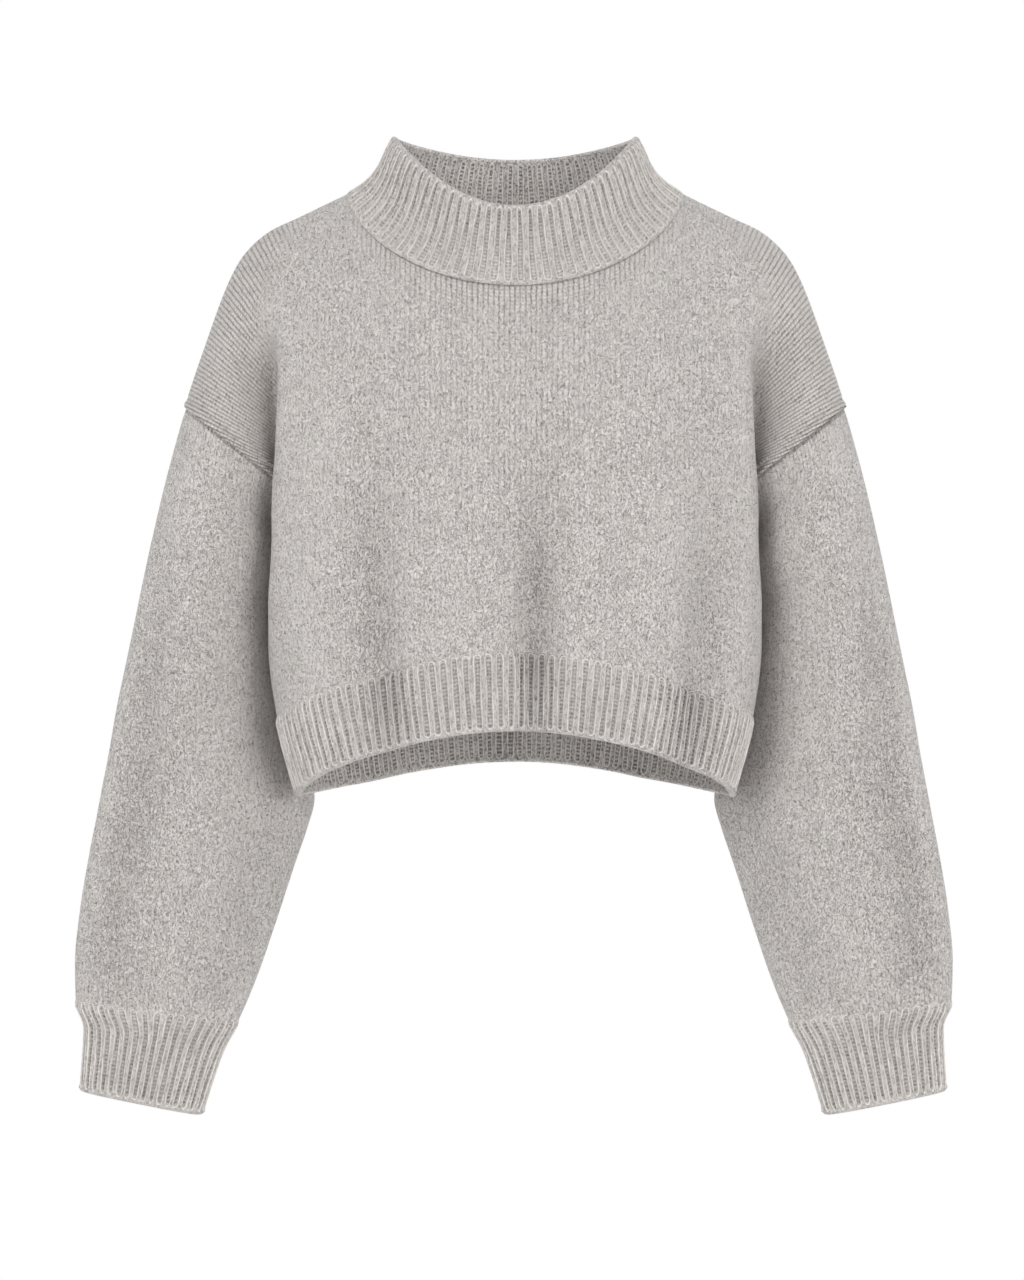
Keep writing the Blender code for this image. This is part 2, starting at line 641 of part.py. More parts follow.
def make_sleeve(name, side):
    """A sleeve from the armhole to its cuff."""
    around = np.linspace(0.0, 2.0, 2 * ARMHOLE_ROWS + 1)
    rows = np.linspace(0.0, 1.0 - CUFF_TRIM / 2, SLEEVE_ROWS + 1)
    clear = SEAM_GAP * armhole_axis(side)

    def outer(turn, along):
        return sleeve(turn, along, side) + clear * (1 - ease(along, 0.0, MOUTH_GAP_END))[..., None]

    def inner(turn, along):
        return outer(turn, along) - WALL * sleeve_facing(turn, along, side)

    return cloth_wall(name, around, rows, outer, inner, OATMEAL)


def make_cuff(name, side):
    """The ribbed cuff at a sleeve's end."""
    stations = np.linspace(0.0, 2.0, 2 * ARMHOLE_ROWS + 1)
    around = np.linspace(0.0, 2.0, 2 * CUFF_RIBS + 1)
    rows = np.linspace(1.0 + CUFF_TRIM / 2, CUFF_END, CUFF_ROWS + 1)
    plain = strips(lambda turn, along: sleeve(turn, along, side), stations)
    facing = strips(lambda turn, along: sleeve_facing(turn, along, side), stations)

    def outer(turn, along):
        raised = RIB_RELIEF * ribs(turn, CUFF_RIBS, 2.0) - RIB_SINK
        return plain(turn, along) + raised[..., None] * facing(turn, along)

    def inner(turn, along):
        return plain(turn, along) - WALL * facing(turn, along)

    return cloth_wall(name, around, rows, outer, inner, RIB_OATMEAL)


def main():
    """Clears the scene and makes the sweater's eight pieces."""
    for thing in list(bpy.data.objects):
        bpy.data.objects.remove(thing, do_unlink=True)
    make_panel("front", True)
    make_panel("back", False)
    make_collar()
    make_hem()
    for name, side in (("left", 1), ("right", -1)):
        make_sleeve("sleeve_" + name, side)
        make_cuff("cuff_" + name, side)


if __name__ == "__main__":
    main()
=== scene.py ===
"""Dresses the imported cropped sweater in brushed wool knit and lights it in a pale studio.

Metres, +Z up. The front faces -Y, the wearer's left side is at +X and the origin lies in the
middle of the neck. Every piece is a closed wall of cloth: a fine grid bent over an outer surface,
its twin on an inner one, and rolled edges between them. `across` runs from -1 to 1 between the
edges of a body panel, and `turn` carries on from there round the back to 3. `along` runs down
the knit: 0 at neck, shoulder or armhole and 1 at the seam of the rib below.
"""

import logging
import math
from dataclasses import dataclass, field
from enum import Enum
from functools import partial
from typing import Callable, NamedTuple, Sequence

import bmesh
import bpy
import numpy as np
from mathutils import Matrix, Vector


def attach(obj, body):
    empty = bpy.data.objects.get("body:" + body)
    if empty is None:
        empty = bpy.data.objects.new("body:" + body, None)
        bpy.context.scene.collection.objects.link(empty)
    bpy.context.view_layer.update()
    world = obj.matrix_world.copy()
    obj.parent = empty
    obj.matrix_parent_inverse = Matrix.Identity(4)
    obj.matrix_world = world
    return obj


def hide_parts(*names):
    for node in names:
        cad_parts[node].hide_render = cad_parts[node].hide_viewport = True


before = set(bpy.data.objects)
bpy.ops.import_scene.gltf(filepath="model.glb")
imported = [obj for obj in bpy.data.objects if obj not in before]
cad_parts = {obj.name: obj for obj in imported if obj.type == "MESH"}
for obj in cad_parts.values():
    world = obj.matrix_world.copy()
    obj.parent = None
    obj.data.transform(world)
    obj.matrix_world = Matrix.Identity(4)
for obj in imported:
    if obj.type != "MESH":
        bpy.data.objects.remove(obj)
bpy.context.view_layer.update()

log = logging.getLogger("sweater")

WALL = 0.0024
UNDERARM = 0.5
HEM_END = 1.24
CUFF_END = 1.18
ROUND_BODY = (-1.0, 3.0)
ROUND_SLEEVE = (0.0, 2.0)
SIDES = {"left": 1, "right": -1}
ROLL_STEPS = (0.0, 0.06, 0.22, 0.48, 0.80, 1.2, 1.8)
EDGE_FLAT = 0.03
TRIAL_POINTS = 2000
UV_NAME = "stitches"
CLEAR_NAME = "clear"
BRINK_NAME = "brink"
HOLLOW_NAME = "hollow"
INSIDE_NAME = "inside"
# A fold this deep gets the full painted shade in the folds.
DEEP_FOLD = 0.010
FAR = 1.0
BOW_PEAK = 4 / 27
COLOUR_A, COLOUR_B, COLOUR_RESULT = 6, 7, 2


class Face(Enum):
    """Which of the two body panels a place belongs to."""

    FRONT = "front"
    BACK = "back"


class Hoop(NamedTuple):
    """A ring round the neck. It dips in front and behind, and has sizes for either face."""

    half_width: float
    height: float
    depth: dict
    dip: dict
    arch: dict


class Shoulder(NamedTuple):
    """A point of the shoulder's line, from the neck at 0 to the armhole at 1."""

    along: float
    out: float
    height: float


class Wale(NamedTuple):
    """How a line of stitches leaves the shoulder and comes down to the underarm's row."""

    across: float
    reach: float
    dip: float
    rise: float
    back: float


class Section(NamedTuple):
    """A level section of the body. The lifts raise the row's middle over its sides."""

    along: float
    drop: float
    half_width: float
    front: float
    back: float
    front_lift: float
    back_lift: float
    front_arch: float
    back_arch: float
    pinch: float
    peak: float
    ridge: float


class Crease(NamedTuple):
    """A row of the fold between chest and arm."""

    along: float
    across: float
    depth: float
    tuck: float


class Trough(NamedTuple):
    """A soft trough that hangs down one panel."""

    face: Face
    across: float
    spread: float
    depth: float
    start: float
    full: float


class Ring(NamedTuple):
    """A section of a sleeve, by its outer and its inner edge and half its depth."""

    along: float
    outer_x: float
    outer_z: float
    outer_back: float
    inner_x: float
    inner_z: float
    inner_back: float
    half_depth: float
    flatness: float


class Fold(NamedTuple):
    """A soft fold down a sleeve."""

    around: float
    spread: float
    depth: float
    start: float
    full: float
    end: float


SHOULDER_LINE = (
    Shoulder(0.00, 0.1255, 0.0085),
    Shoulder(0.19, 0.1615, -0.0090),
    Shoulder(0.31, 0.1850, -0.0205),
    Shoulder(0.43, 0.2040, -0.0385),
    Shoulder(0.53, 0.2145, -0.0570),
    Shoulder(0.68, 0.2256, -0.0860),
    Shoulder(0.82, 0.2361, -0.1155),
    Shoulder(1.00, 0.2475, -0.1520),
)
WALES = (
    Wale(0.00, 0.050, 64.0, 0.050, 0.000),
    Wale(0.17, 0.050, 60.5, 0.070, 0.000),
    Wale(0.33, 0.050, 50.0, 0.095, 0.000),
    Wale(0.44, 0.057, 33.0, 0.107, 0.000),
    Wale(0.50, 0.064, 21.0, 0.116, 0.000),
    Wale(0.62, 0.062, 10.0, 0.112, 0.000),
    Wale(0.75, 0.066, 0.0, 0.095, 0.005),
    Wale(1.00, 0.089, 0.0, 0.000, 0.072),
)
SECTIONS = (
    Section(0.50, 0.240, 0.1850, 0.125, 0.108, 0.0000, 0.0000, 2.0, 2.0, 0.0250, 0.0195, 0.0055),
    Section(0.68, 0.290, 0.1862, 0.125, 0.108, 0.0120, 0.0060, 2.0, 2.0, 0.0060, 0.0040, 0.003),
    Section(0.84, 0.337, 0.1845, 0.122, 0.107, 0.0280, 0.0140, 2.2, 2.0, 0.0000, 0.0000, 0.001),
    Section(1.00, 0.383, 0.1785, 0.117, 0.108, 0.0480, 0.0255, 2.4, 2.6, 0.0000, 0.0000, 0.000),
    Section(1.24, 0.444, 0.1630, 0.100, 0.102, 0.0510, 0.0240, 1.95, 3.5, 0.0000, 0.0000, 0.000),
)
ARM_CREASE = (
    Crease(0.06, 0.730, 0.000, 0.0000),
    Crease(0.14, 0.735, 0.003, 0.0000),
    Crease(0.20, 0.742, 0.009, 0.0010),
    Crease(0.25, 0.748, 0.018, 0.0060),
    Crease(0.29, 0.760, 0.026, 0.0125),
    Crease(0.33, 0.782, 0.028, 0.0130),
    Crease(0.40, 0.840, 0.028, 0.0100),
    Crease(0.45, 0.900, 0.018, 0.0050),
    Crease(0.50, 0.950, 0.000, 0.0000),
)
BODY_TROUGHS = (
    Trough(Face.FRONT, -0.41, 0.075, 0.0100, 0.22, 0.72),
    Trough(Face.FRONT, 0.07, 0.070, 0.0130, 0.20, 0.75),
    Trough(Face.FRONT, 0.57, 0.085, 0.0105, 0.24, 0.74),
    Trough(Face.BACK, -0.50, 0.085, 0.0100, 0.26, 0.78),
    Trough(Face.BACK, -0.04, 0.070, 0.0120, 0.20, 0.75),
    Trough(Face.BACK, 0.44, 0.075, 0.0095, 0.28, 0.80),
)
SLEEVE_RINGS = (
    Ring(0.00, 0.2475, -0.1520, 0.000, 0.1600, -0.2205, 0.000, 0.067, 0.0),
    Ring(0.10, 0.2585, -0.1930, 0.002, 0.1745, -0.2500, 0.016, 0.066, 0.0),
    Ring(0.25, 0.2752, -0.2640, 0.004, 0.1823, -0.2980, 0.042, 0.064, 0.0),
    Ring(0.42, 0.2907, -0.3380, 0.006, 0.1770, -0.3600, 0.057, 0.062, 0.0),
    Ring(0.52, 0.2997, -0.3800, 0.010, 0.1650, -0.4060, 0.070, 0.060, 0.0),
    Ring(0.60, 0.3062, -0.4160, 0.014, 0.1555, -0.4320, 0.073, 0.058, 0.0),
    Ring(0.64, 0.3097, -0.4340, 0.014, 0.1528, -0.4480, 0.072, 0.058, 0.0),
    Ring(0.68, 0.3142, -0.4580, 0.014, 0.1582, -0.4700, 0.067, 0.057, 0.0),
    Ring(0.73, 0.3194, -0.4850, 0.013, 0.1662, -0.4940, 0.060, 0.056, 0.0),
    Ring(0.82, 0.3262, -0.5280, 0.010, 0.1809, -0.5410, 0.042, 0.052, 0.1),
    Ring(0.92, 0.3297, -0.5660, 0.008, 0.1938, -0.5800, 0.026, 0.044, 0.4),
    Ring(1.00, 0.3287, -0.5950, 0.005, 0.2064, -0.6110, 0.012, 0.030, 0.8),
    Ring(1.06, 0.3210, -0.6170, 0.004, 0.2185, -0.6335, 0.006, 0.023, 1.0),
    Ring(1.18, 0.3235, -0.6640, 0.002, 0.2347, -0.6820, 0.003, 0.019, 1.0),
)
SLEEVE_FOLDS = (
    Fold(0.28, 0.11, 0.0088, 0.10, 0.40, 1.02),
    Fold(0.74, 0.12, 0.0048, 0.30, 0.62, 1.02),
    Fold(1.30, 0.11, 0.0075, 0.20, 0.55, 1.02),
    Fold(1.72, 0.10, 0.0080, 0.30, 0.60, 1.02),
)


# ---------------------------------------------------------------- shapes worked out in numbers


def smooth(rows: Sequence[NamedTuple], name: str, at: np.ndarray) -> np.ndarray:
    """Reads one column of a table at any station, on a cubic that never overshoots its rows.

    Args:
        rows: the table, whose first column is the station.
        name: the column to read.
        at: the stations asked for.

    Returns:
        The column's value at each station.
    """
    station = np.array([row[0] for row in rows])
    value = np.array([getattr(row, name) for row in rows])
    step = np.diff(station)
    slope = np.diff(value) / step
    product = slope[1:] * slope[:-1]
    total = slope[1:] + slope[:-1]
    same_way = product > 0
    inner = np.where(same_way, 2 * product / np.where(same_way, total, 1.0), 0.0)
    tangent = np.concatenate(([slope[0]], inner, [slope[-1]]))
    at = np.clip(at, station[0], station[-1])
    low = np.clip(np.searchsorted(station, at, side="right") - 1, 0, len(step) - 1)
    t = (at - station[low]) / step[low]
    return (
        (1 + 2 * t) * (1 - t) ** 2 * value[low]
        + t * (1 - t) ** 2 * step[low] * tangent[low]
        + t * t * (3 - 2 * t) * value[low + 1]
        + t * t * (t - 1) * step[low] * tangent[low + 1]
    )


def ease(at: np.ndarray, start: float, full: float) -> np.ndarray:
    """0 before start, 1 after full, and a soft ramp between them."""
    t = np.clip((at - start) / (full - start), 0.0, 1.0)
    return t * t * (3 - 2 * t)


def quarter(share: np.ndarray) -> np.ndarray:
    """The angle of a share of a quarter turn, in radians."""
    return np.radians(90.0 * share)


def bell(distance: np.ndarray, spread: float) -> np.ndarray:
    """1 at no distance, falling away over a few spreads."""
    return np.exp(-((distance / spread) ** 2))


def unit(vectors: np.ndarray) -> np.ndarray:
    """The same directions, each one long."""
    return vectors / np.linalg.norm(vectors, axis=-1, keepdims=True)


def points(x: np.ndarray, y: np.ndarray, z: np.ndarray) -> np.ndarray:
    """One row of three for each point."""
    return np.stack(np.broadcast_arrays(x, y, z), axis=-1)


def bezier(
    start: np.ndarray, leave: np.ndarray, arrive: np.ndarray, end: np.ndarray, t: np.ndarray
) -> np.ndarray:
    """A cubic through start and end, steered by the two points between.

    Args:
        start: the first point.
        leave: where the curve heads from it.
        arrive: where it comes from at the end.
        end: the last point.
        t: how far along the curve each point asked for lies, from 0 to 1.

    Returns:
        The points.
    """
    t = np.asarray(t)[..., None]
    return (
        (1 - t) ** 3 * start
        + 3 * t * (1 - t) ** 2 * leave
        + 3 * t * t * (1 - t) * arrive
        + t**3 * end
    )


def in_plane(directions: np.ndarray, axis: np.ndarray) -> np.ndarray:
    """The same directions, laid into the plane square to axis."""
    return unit(directions - (directions @ axis)[..., None] * axis)


def run_down(place: np.ndarray) -> np.ndarray:
    """How far each point of a grid lies from its column's first point, along the cloth."""
    step = np.linalg.norm(np.diff(place, axis=0), axis=-1)
    return np.concatenate((np.zeros((1, place.shape[1])), np.cumsum(step, axis=0)))


def facing_of(place: np.ndarray, closed: bool, outward: float) -> np.ndarray:
    """Which way a grid of points faces.

    Args:
        place: the points, by row and column.
        closed: whether the last column lies on the first.
        outward: 1 or -1, for the side that is out.

    Returns:
        A direction for each point.
    """
    if closed:
        ring = np.concatenate((place[:, -2:-1], place, place[:, 1:2]), axis=1)
        by_column = (ring[:, 2:] - ring[:, :-2]) / 2
    else:
        by_column = np.gradient(place, axis=1)
    by_row = np.gradient(place, axis=0)
    return unit(np.cross(by_row, by_column)) * outward


def clustered(
    start: float, end: float, count: int, edges: tuple[bool, bool], lip: float
) -> np.ndarray:
    """Stations from start to end, with more of them by the edges that are rolled.

    Args:
        start: the first station.
        end: the last station.
        count: how many even steps lie between.
        edges: whether the first and the last edge are rolled.
        lip: how wide a rolled edge's own stations are.

    Returns:
        The stations in order.
    """
    roll = lip * np.array(ROLL_STEPS)
    low = start + (roll if edges[0] else np.array([0.0]))
    high = end - (roll if edges[1] else np.array([0.0]))
    even = np.linspace(low.max(), high.min(), count + 1)
    return np.concatenate((np.sort(low)[:-1], even, np.sort(high)[1:]))


def rolled(distance: np.ndarray, radius: float) -> np.ndarray:
    """The share of a wall's thickness that is left by an edge that is rolled to a radius.

    Args:
        distance: how far each point lies from the edge.
        radius: the roll's radius.

    Returns:
        A share from 0 to 1 for each point.
    """
    if radius == 0:
        return np.ones_like(distance)
    inside = np.clip(1 - distance / radius, 0.0, 1 - EDGE_FLAT)
    return np.sqrt(1 - inside**2)


def faces_of(
    plain: np.ndarray, facing: np.ndarray, lift: np.ndarray, half: np.ndarray
) -> tuple[np.ndarray, np.ndarray]:
    """A wall's outer and inner points.

    Args:
        plain: the surface that the wall hangs under.
        facing: which way it faces.
        lift: how far the cloth is moved out.
        half: half its thickness.

    Returns:
        The points of both faces.
    """
    middle = lift - WALL / 2
    return plain + (middle + half)[..., None] * facing, plain + (middle - half)[..., None] * facing


@dataclass
class Form:
    """The sweater's worn shape as smooth surfaces, with its main folds."""

    seam: Hoop = Hoop(
        half_width=0.1255,
        height=0.0085,
        depth={Face.FRONT: 0.097, Face.BACK: 0.090},
        dip={Face.FRONT: 0.0742, Face.BACK: 0.0300},
        arch={Face.FRONT: 1.25, Face.BACK: 1.25},
    )
    rim: Hoop = Hoop(
        half_width=0.0895,
        height=0.051,
        depth={Face.FRONT: 0.068, Face.BACK: 0.068},
        dip={Face.FRONT: 0.0572, Face.BACK: 0.0103},
        arch={Face.FRONT: 1.85, Face.BACK: 2.4},
    )
    collar_bow: float = 0.0075
    collar_bow_loss: float = 0.6
    armhole_top: tuple = (0.2475, 0.0, -0.152)
    underarm_point: tuple = (0.160, 0.0, -0.2205)
    armhole_fullness: dict = field(default_factory=lambda: {Face.FRONT: 0.089, Face.BACK: 0.094})
    underarm_fullness: float = 0.072
    underarm_pointing: float = 0.045
    neck_share: float = 0.5
    arm_start: float = 0.66
    body_evening: float = 0.19
    body_squareness: float = 0.08
    pinch_spread: float = 0.11
    ridge_across: float = 0.76
    ridge_spread: float = 0.10
    ridge_start: float = 0.40
    pull_end: float = 0.72
    crease_spread: float = 0.060
    crease_share: dict = field(default_factory=lambda: {Face.FRONT: 1.0, Face.BACK: 0.8})
    crease_end: tuple = (0.84, 0.97)
    trough_loss: float = 0.5
    sleeve_inset_top: float = 0.975
    sleeve_inset_underarm: float = 0.950
    sleeve_inset_focus: int = 4
    sleeve_evening: tuple = (-0.10, 0.40)
    sleeve_squareness: tuple = (0.03, 0.12)
    mouth_end: float = 0.18
    fold_fade_start: float = 0.9
    cuff_swing: dict = field(default_factory=lambda: {1: -0.0010, -1: 0.0010})

    def pick(self, sizes: dict, is_front: np.ndarray) -> np.ndarray:
        """The front's size where is_front holds, and the back's elsewhere."""
        return np.where(is_front, sizes[Face.FRONT], sizes[Face.BACK])

    def neck_ring(self, ring: Hoop, turn: np.ndarray, is_front: np.ndarray) -> np.ndarray:
        """A ring round the neck, from turn -1 at one shoulder over the middle to 1 at the other.

        Args:
            ring: its sizes.
            turn: where on the ring each point lies.
            is_front: whether each point is on the front.

        Returns:
            The points.
        """
        angle = quarter(turn)
        middle = np.cos(angle)
        y = self.pick(ring.depth, is_front) * middle
        arch = self.pick(ring.arch, is_front)
        dip = self.pick(ring.dip, is_front) * np.maximum(middle, 0.0) ** arch
        return points(ring.half_width * np.sin(angle), np.where(is_front, -y, y), ring.height - dip)

    def collar(self, turn: np.ndarray, up: np.ndarray) -> np.ndarray:
        """The collar, from its seam at 0 to its rim at 1, round the whole neck.

        Args:
            turn: where round the body each point lies.
            up: how far up the collar each point lies.

        Returns:
            The points.
        """
        across, is_front = self.round_body(turn)
        seam = self.neck_ring(self.seam, across, is_front)
        rim = self.neck_ring(self.rim, across, is_front)
        up = np.asarray(up)[..., None]
        inward = -unit(seam * np.array([1.0, 1.0, 0.0]))
        loss = self.collar_bow_loss * np.cos(quarter(across))[..., None] ** 2
        bow = self.collar_bow * (1 - loss) * up * (1 - up) ** 2 / BOW_PEAK
        return seam + (rim - seam) * up + inward * bow

    def armhole(self, down: np.ndarray, is_front: np.ndarray) -> np.ndarray:
        """Half of the left armhole's hoop, from the shoulder seam at 0 to the underarm at 1.

        Args:
            down: how far down the hoop each point lies.
            is_front: whether each point is on the front.

        Returns:
            The points.
        """
        top, underarm = np.array(self.armhole_top), np.array(self.underarm_point)
        toward = np.where(is_front, -1.0, 1.0)[..., None]
        forward = np.array([0.0, 1.0, 0.0])
        pull = unit(top - underarm) * self.underarm_pointing
        fullness = self.pick(self.armhole_fullness, is_front)[..., None]
        return bezier(
            top,
            top + toward * fullness * forward,
            underarm + toward * self.underarm_fullness * forward + pull,
            underarm,
            down,
        )

    def armhole_axis(self, side: int) -> np.ndarray:
        """The way a sleeve leaves its armhole, square to the hoop."""
        lean = unit(np.array(self.armhole_top) - np.array(self.underarm_point))
        return np.array([side * lean[2], 0.0, -lean[0]])

    def round_body(self, turn: np.ndarray) -> tuple[np.ndarray, np.ndarray]:
        """How far across a place round the body lies, and whether it is on the front."""
        is_front = turn <= 1
        return np.where(is_front, turn, 2 - turn), is_front

    def panel_top(self, across: np.ndarray, is_front: np.ndarray) -> np.ndarray:
        """The upper edge of a panel: half the neck's seam and then the shoulder's.

        Args:
            across: how far across the panel each point lies, from -1 to 1.
            is_front: whether each point is on the front.

        Returns:
            The points.
        """
        side = np.sign(across)
        u = np.abs(across)
        neck = self.neck_ring(self.seam, np.clip(across / self.neck_share, -1, 1), is_front)
        reach = np.clip((u - self.neck_share) / (1 - self.neck_share), 0, 1)
        out = side * smooth(SHOULDER_LINE, "out", reach)
        shoulder = points(out, 0.0, smooth(SHOULDER_LINE, "height", reach))
        return np.where((u <= self.neck_share)[..., None], neck, shoulder)

    def torso(self, across: np.ndarray, along: np.ndarray, is_front: np.ndarray) -> np.ndarray:
        """The body from the underarm's row down to the hem's edge.

        Args:
            across: how far across the panel each point lies, from -1 to 1.
            along: how far down the knit each point lies.
            is_front: whether each point is on the front.

        Returns:
            The points.
        """
        u = np.abs(across)
        angle = quarter(u - self.body_evening / math.pi * np.sin(math.pi * u))
        fullness = 1 + self.body_squareness * np.sin(2 * angle) ** 2
        at_side = bell(1 - u, self.pinch_spread)

        def by_face(name: str) -> np.ndarray:
            """The front's column of this name where is_front holds, and the back's elsewhere."""
            front, back = (smooth(SECTIONS, face + name, along) for face in ("front", "back"))
            return np.where(is_front, front, back)

        x = smooth(SECTIONS, "half_width", along) * np.sin(angle) * fullness
        x = x - smooth(SECTIONS, "pinch", along) * at_side
        x = x + smooth(SECTIONS, "ridge", along) * bell(u - self.ridge_across, self.ridge_spread)
        y = by_face("") * np.cos(angle) * fullness
        z = -smooth(SECTIONS, "drop", along) + smooth(SECTIONS, "peak", along) * at_side
        z = z + by_face("_lift") * np.maximum(np.cos(angle), 0.0) ** by_face("_arch")
        return points(np.sign(across) * x, np.where(is_front, -y, y), z)

    def cape(self, across: np.ndarray, along: np.ndarray, is_front: np.ndarray) -> np.ndarray:
        """The body from neck and shoulder down to the underarm's row.

        Args:
            across: how far across the panel each point lies, from -1 to 1.
            along: how far down the knit each point lies.
            is_front: whether each point is on the front.

        Returns:
            The points.
        """
        side = np.sign(across)
        u = np.abs(across)
        toward = np.where(is_front, -1.0, 1.0)
        top = self.panel_top(across, is_front)
        foot = self.torso(across, np.full_like(u, UNDERARM), is_front)
        reach = smooth(WALES, "reach", u)
        dip = np.radians(smooth(WALES, "dip", u))
        leave = top + points(0.0, toward * reach * np.cos(dip), -reach * np.sin(dip))
        ridge = smooth(SECTIONS, "ridge", np.full_like(u, UNDERARM))
        ridge = ridge * bell(u - self.ridge_across, self.ridge_spread)
        foot = foot - points(side * ridge * (1 - ease(along, self.ridge_start, UNDERARM)), 0.0, 0.0)
        arrive = foot + points(0.0, toward * smooth(WALES, "back", u), smooth(WALES, "rise", u))
        down = along / UNDERARM
        sheet = bezier(top, leave, arrive, foot, down)
        hoop = self.armhole(np.clip(down, 0, 1), is_front)
        hoop = hoop * points(np.where(side == 0, 1.0, side), 1.0, 1.0)
        return sheet + (hoop - sheet) * ease(u, self.arm_start, 1.0)[..., None] ** 2

    def body(self, turn: np.ndarray, along: np.ndarray) -> np.ndarray:
        """Front and back in one formula, with their folds.

        Args:
            turn: where round the body each point lies.
            along: how far down the knit each point lies.

        Returns:
            The points.
        """
        turn, along = np.broadcast_arrays(turn, along)
        across, is_front = self.round_body(turn)
        row = np.full_like(across, UNDERARM)
        # The cape ends drawn in toward the underarm. The torso lets go of that pull row by row.
        pull = self.cape(across, row, is_front) - self.torso(across, row, is_front)
        pull = pull * (1 - ease(along, UNDERARM, self.pull_end))[..., None]
        place = np.where(
            (along >= UNDERARM)[..., None],
            self.torso(across, np.maximum(along, UNDERARM), is_front) + pull,
            self.cape(across, np.clip(along, 0.0, UNDERARM), is_front),
        )
        toward = np.where(is_front, -1.0, 1.0)
        u = np.abs(across)
        crease = bell(u - smooth(ARM_CREASE, "across", along), self.crease_spread)
        crease = crease * self.pick(self.crease_share, is_front) * (1 - ease(u, *self.crease_end))
        back = crease * smooth(ARM_CREASE, "depth", along)
        tuck = crease * smooth(ARM_CREASE, "tuck", along)
        depth = self.body_depth(turn, along)
        angle = quarter(across)
        inward = points(-np.sin(angle), -toward * np.cos(angle), 0.0)
        aside = points(-np.sign(across) * tuck, -toward * back, 0.0)
        return place + aside + depth[..., None] * inward

    def body_depth(self, turn: np.ndarray, along: np.ndarray) -> np.ndarray:
        """How deep the body's soft troughs are.

        Args:
            turn: where round the body each point lies.
            along: how far down the knit each point lies.

        Returns:
            A depth for each point, in metres.
        """
        across, is_front = self.round_body(turn)
        depth = np.zeros_like(across)
        for trough in BODY_TROUGHS:
            here = is_front == (trough.face is Face.FRONT)
            fade = ease(along, trough.start, trough.full)
            fade = fade * (1 - self.trough_loss * ease(along, 1.0, HEM_END))
            depth = depth + here * fade * trough.depth * bell(across - trough.across, trough.spread)
        return depth

    def sleeve_depth(self, around: np.ndarray, along: np.ndarray) -> np.ndarray:
        """How deep a sleeve's soft folds are.

        Args:
            around: where round the sleeve each point lies, from 0 at its outer edge to 2.
            along: how far down the knit each point lies.

        Returns:
            A depth for each point, in metres.
        """
        depth = np.zeros_like(around)
        for fold in SLEEVE_FOLDS:
            fade = 1 - ease(along, self.fold_fade_start, fold.end)
            fade = fade * ease(along, fold.start, fold.full)
            off = np.abs((around - fold.around + 1) % 2 - 1)
            depth = depth + fade * fold.depth * bell(off, fold.spread)
        return depth

    def sleeve(self, around: np.ndarray, along: np.ndarray, side: int) -> np.ndarray:
        """A sleeve and its cuff, on the side of +X for side 1 and of -X for side -1.

        Args:
            around: where round the sleeve each point lies, from 0 at its outer edge to 2.
            along: how far down the knit each point lies.
            side: 1 or -1.

        Returns:
            The points.
        """
        around, along = np.broadcast_arrays(around, along)
        flat = smooth(SLEEVE_RINGS, "flatness", along)
        evening = self.sleeve_evening[0] * (1 - flat) + self.sleeve_evening[1] * flat
        square = self.sleeve_squareness[0] * (1 - flat) + self.sleeve_squareness[1] * flat
        angle = math.pi * around
        angle = angle + 0.5 * evening * np.sin(2 * angle)
        fullness = 1 + square * np.sin(2 * angle) ** 2
        outer, inner = (
            points(*(smooth(SLEEVE_RINGS, f"{edge}_{way}", along) for way in ("x", "back", "z")))
            for edge in ("outer", "inner")
        )
        depth = smooth(SLEEVE_RINGS, "half_depth", along) * fullness * np.sin(angle)
        middle = (outer + inner) / 2
        place = middle + (outer - inner) / 2 * (fullness * np.cos(angle))[..., None]
        place = place - points(0.0, depth, 0.0)
        place = place + unit(middle - place) * self.sleeve_depth(around, along)[..., None]
        place = place + self.mouth_shift(around, along)
        place = place + points(self.cuff_swing[side] * along**2, 0.0, 0.0)
        return place * np.array([side, 1.0, 1.0])

    def mouth_shift(self, around: np.ndarray, along: np.ndarray) -> np.ndarray:
        """How far a sleeve's upper end is moved, so that it starts just inside the armhole.

        Args:
            around: where round the sleeve each point lies, from 0 at its outer edge to 2.
            along: how far down the knit each point lies.

        Returns:
            A move for each point.
        """
        top, underarm = np.array(self.armhole_top), np.array(self.underarm_point)
        is_front = around <= 1
        hoop = self.armhole(np.where(is_front, around, 2 - around), is_front)
        hub = (top + underarm) / 2
        low = (0.5 - 0.5 * np.cos(math.pi * around)) ** self.sleeve_inset_focus
        inset = self.sleeve_inset_top * (1 - low) + self.sleeve_inset_underarm * low
        hoop = hub + (hoop - hub) * inset[..., None]
        half_depth = smooth(SLEEVE_RINGS, "half_depth", np.zeros_like(along))
        mouth = hub - points(0.0, half_depth * np.sin(math.pi * around), 0.0)
        mouth = mouth + (top - underarm) / 2 * np.cos(math.pi * around)[..., None]
        return (hoop - mouth) * (1 - ease(along, 0.0, self.mouth_end))[..., None]


# ---------------------------------------------------------------- finishes


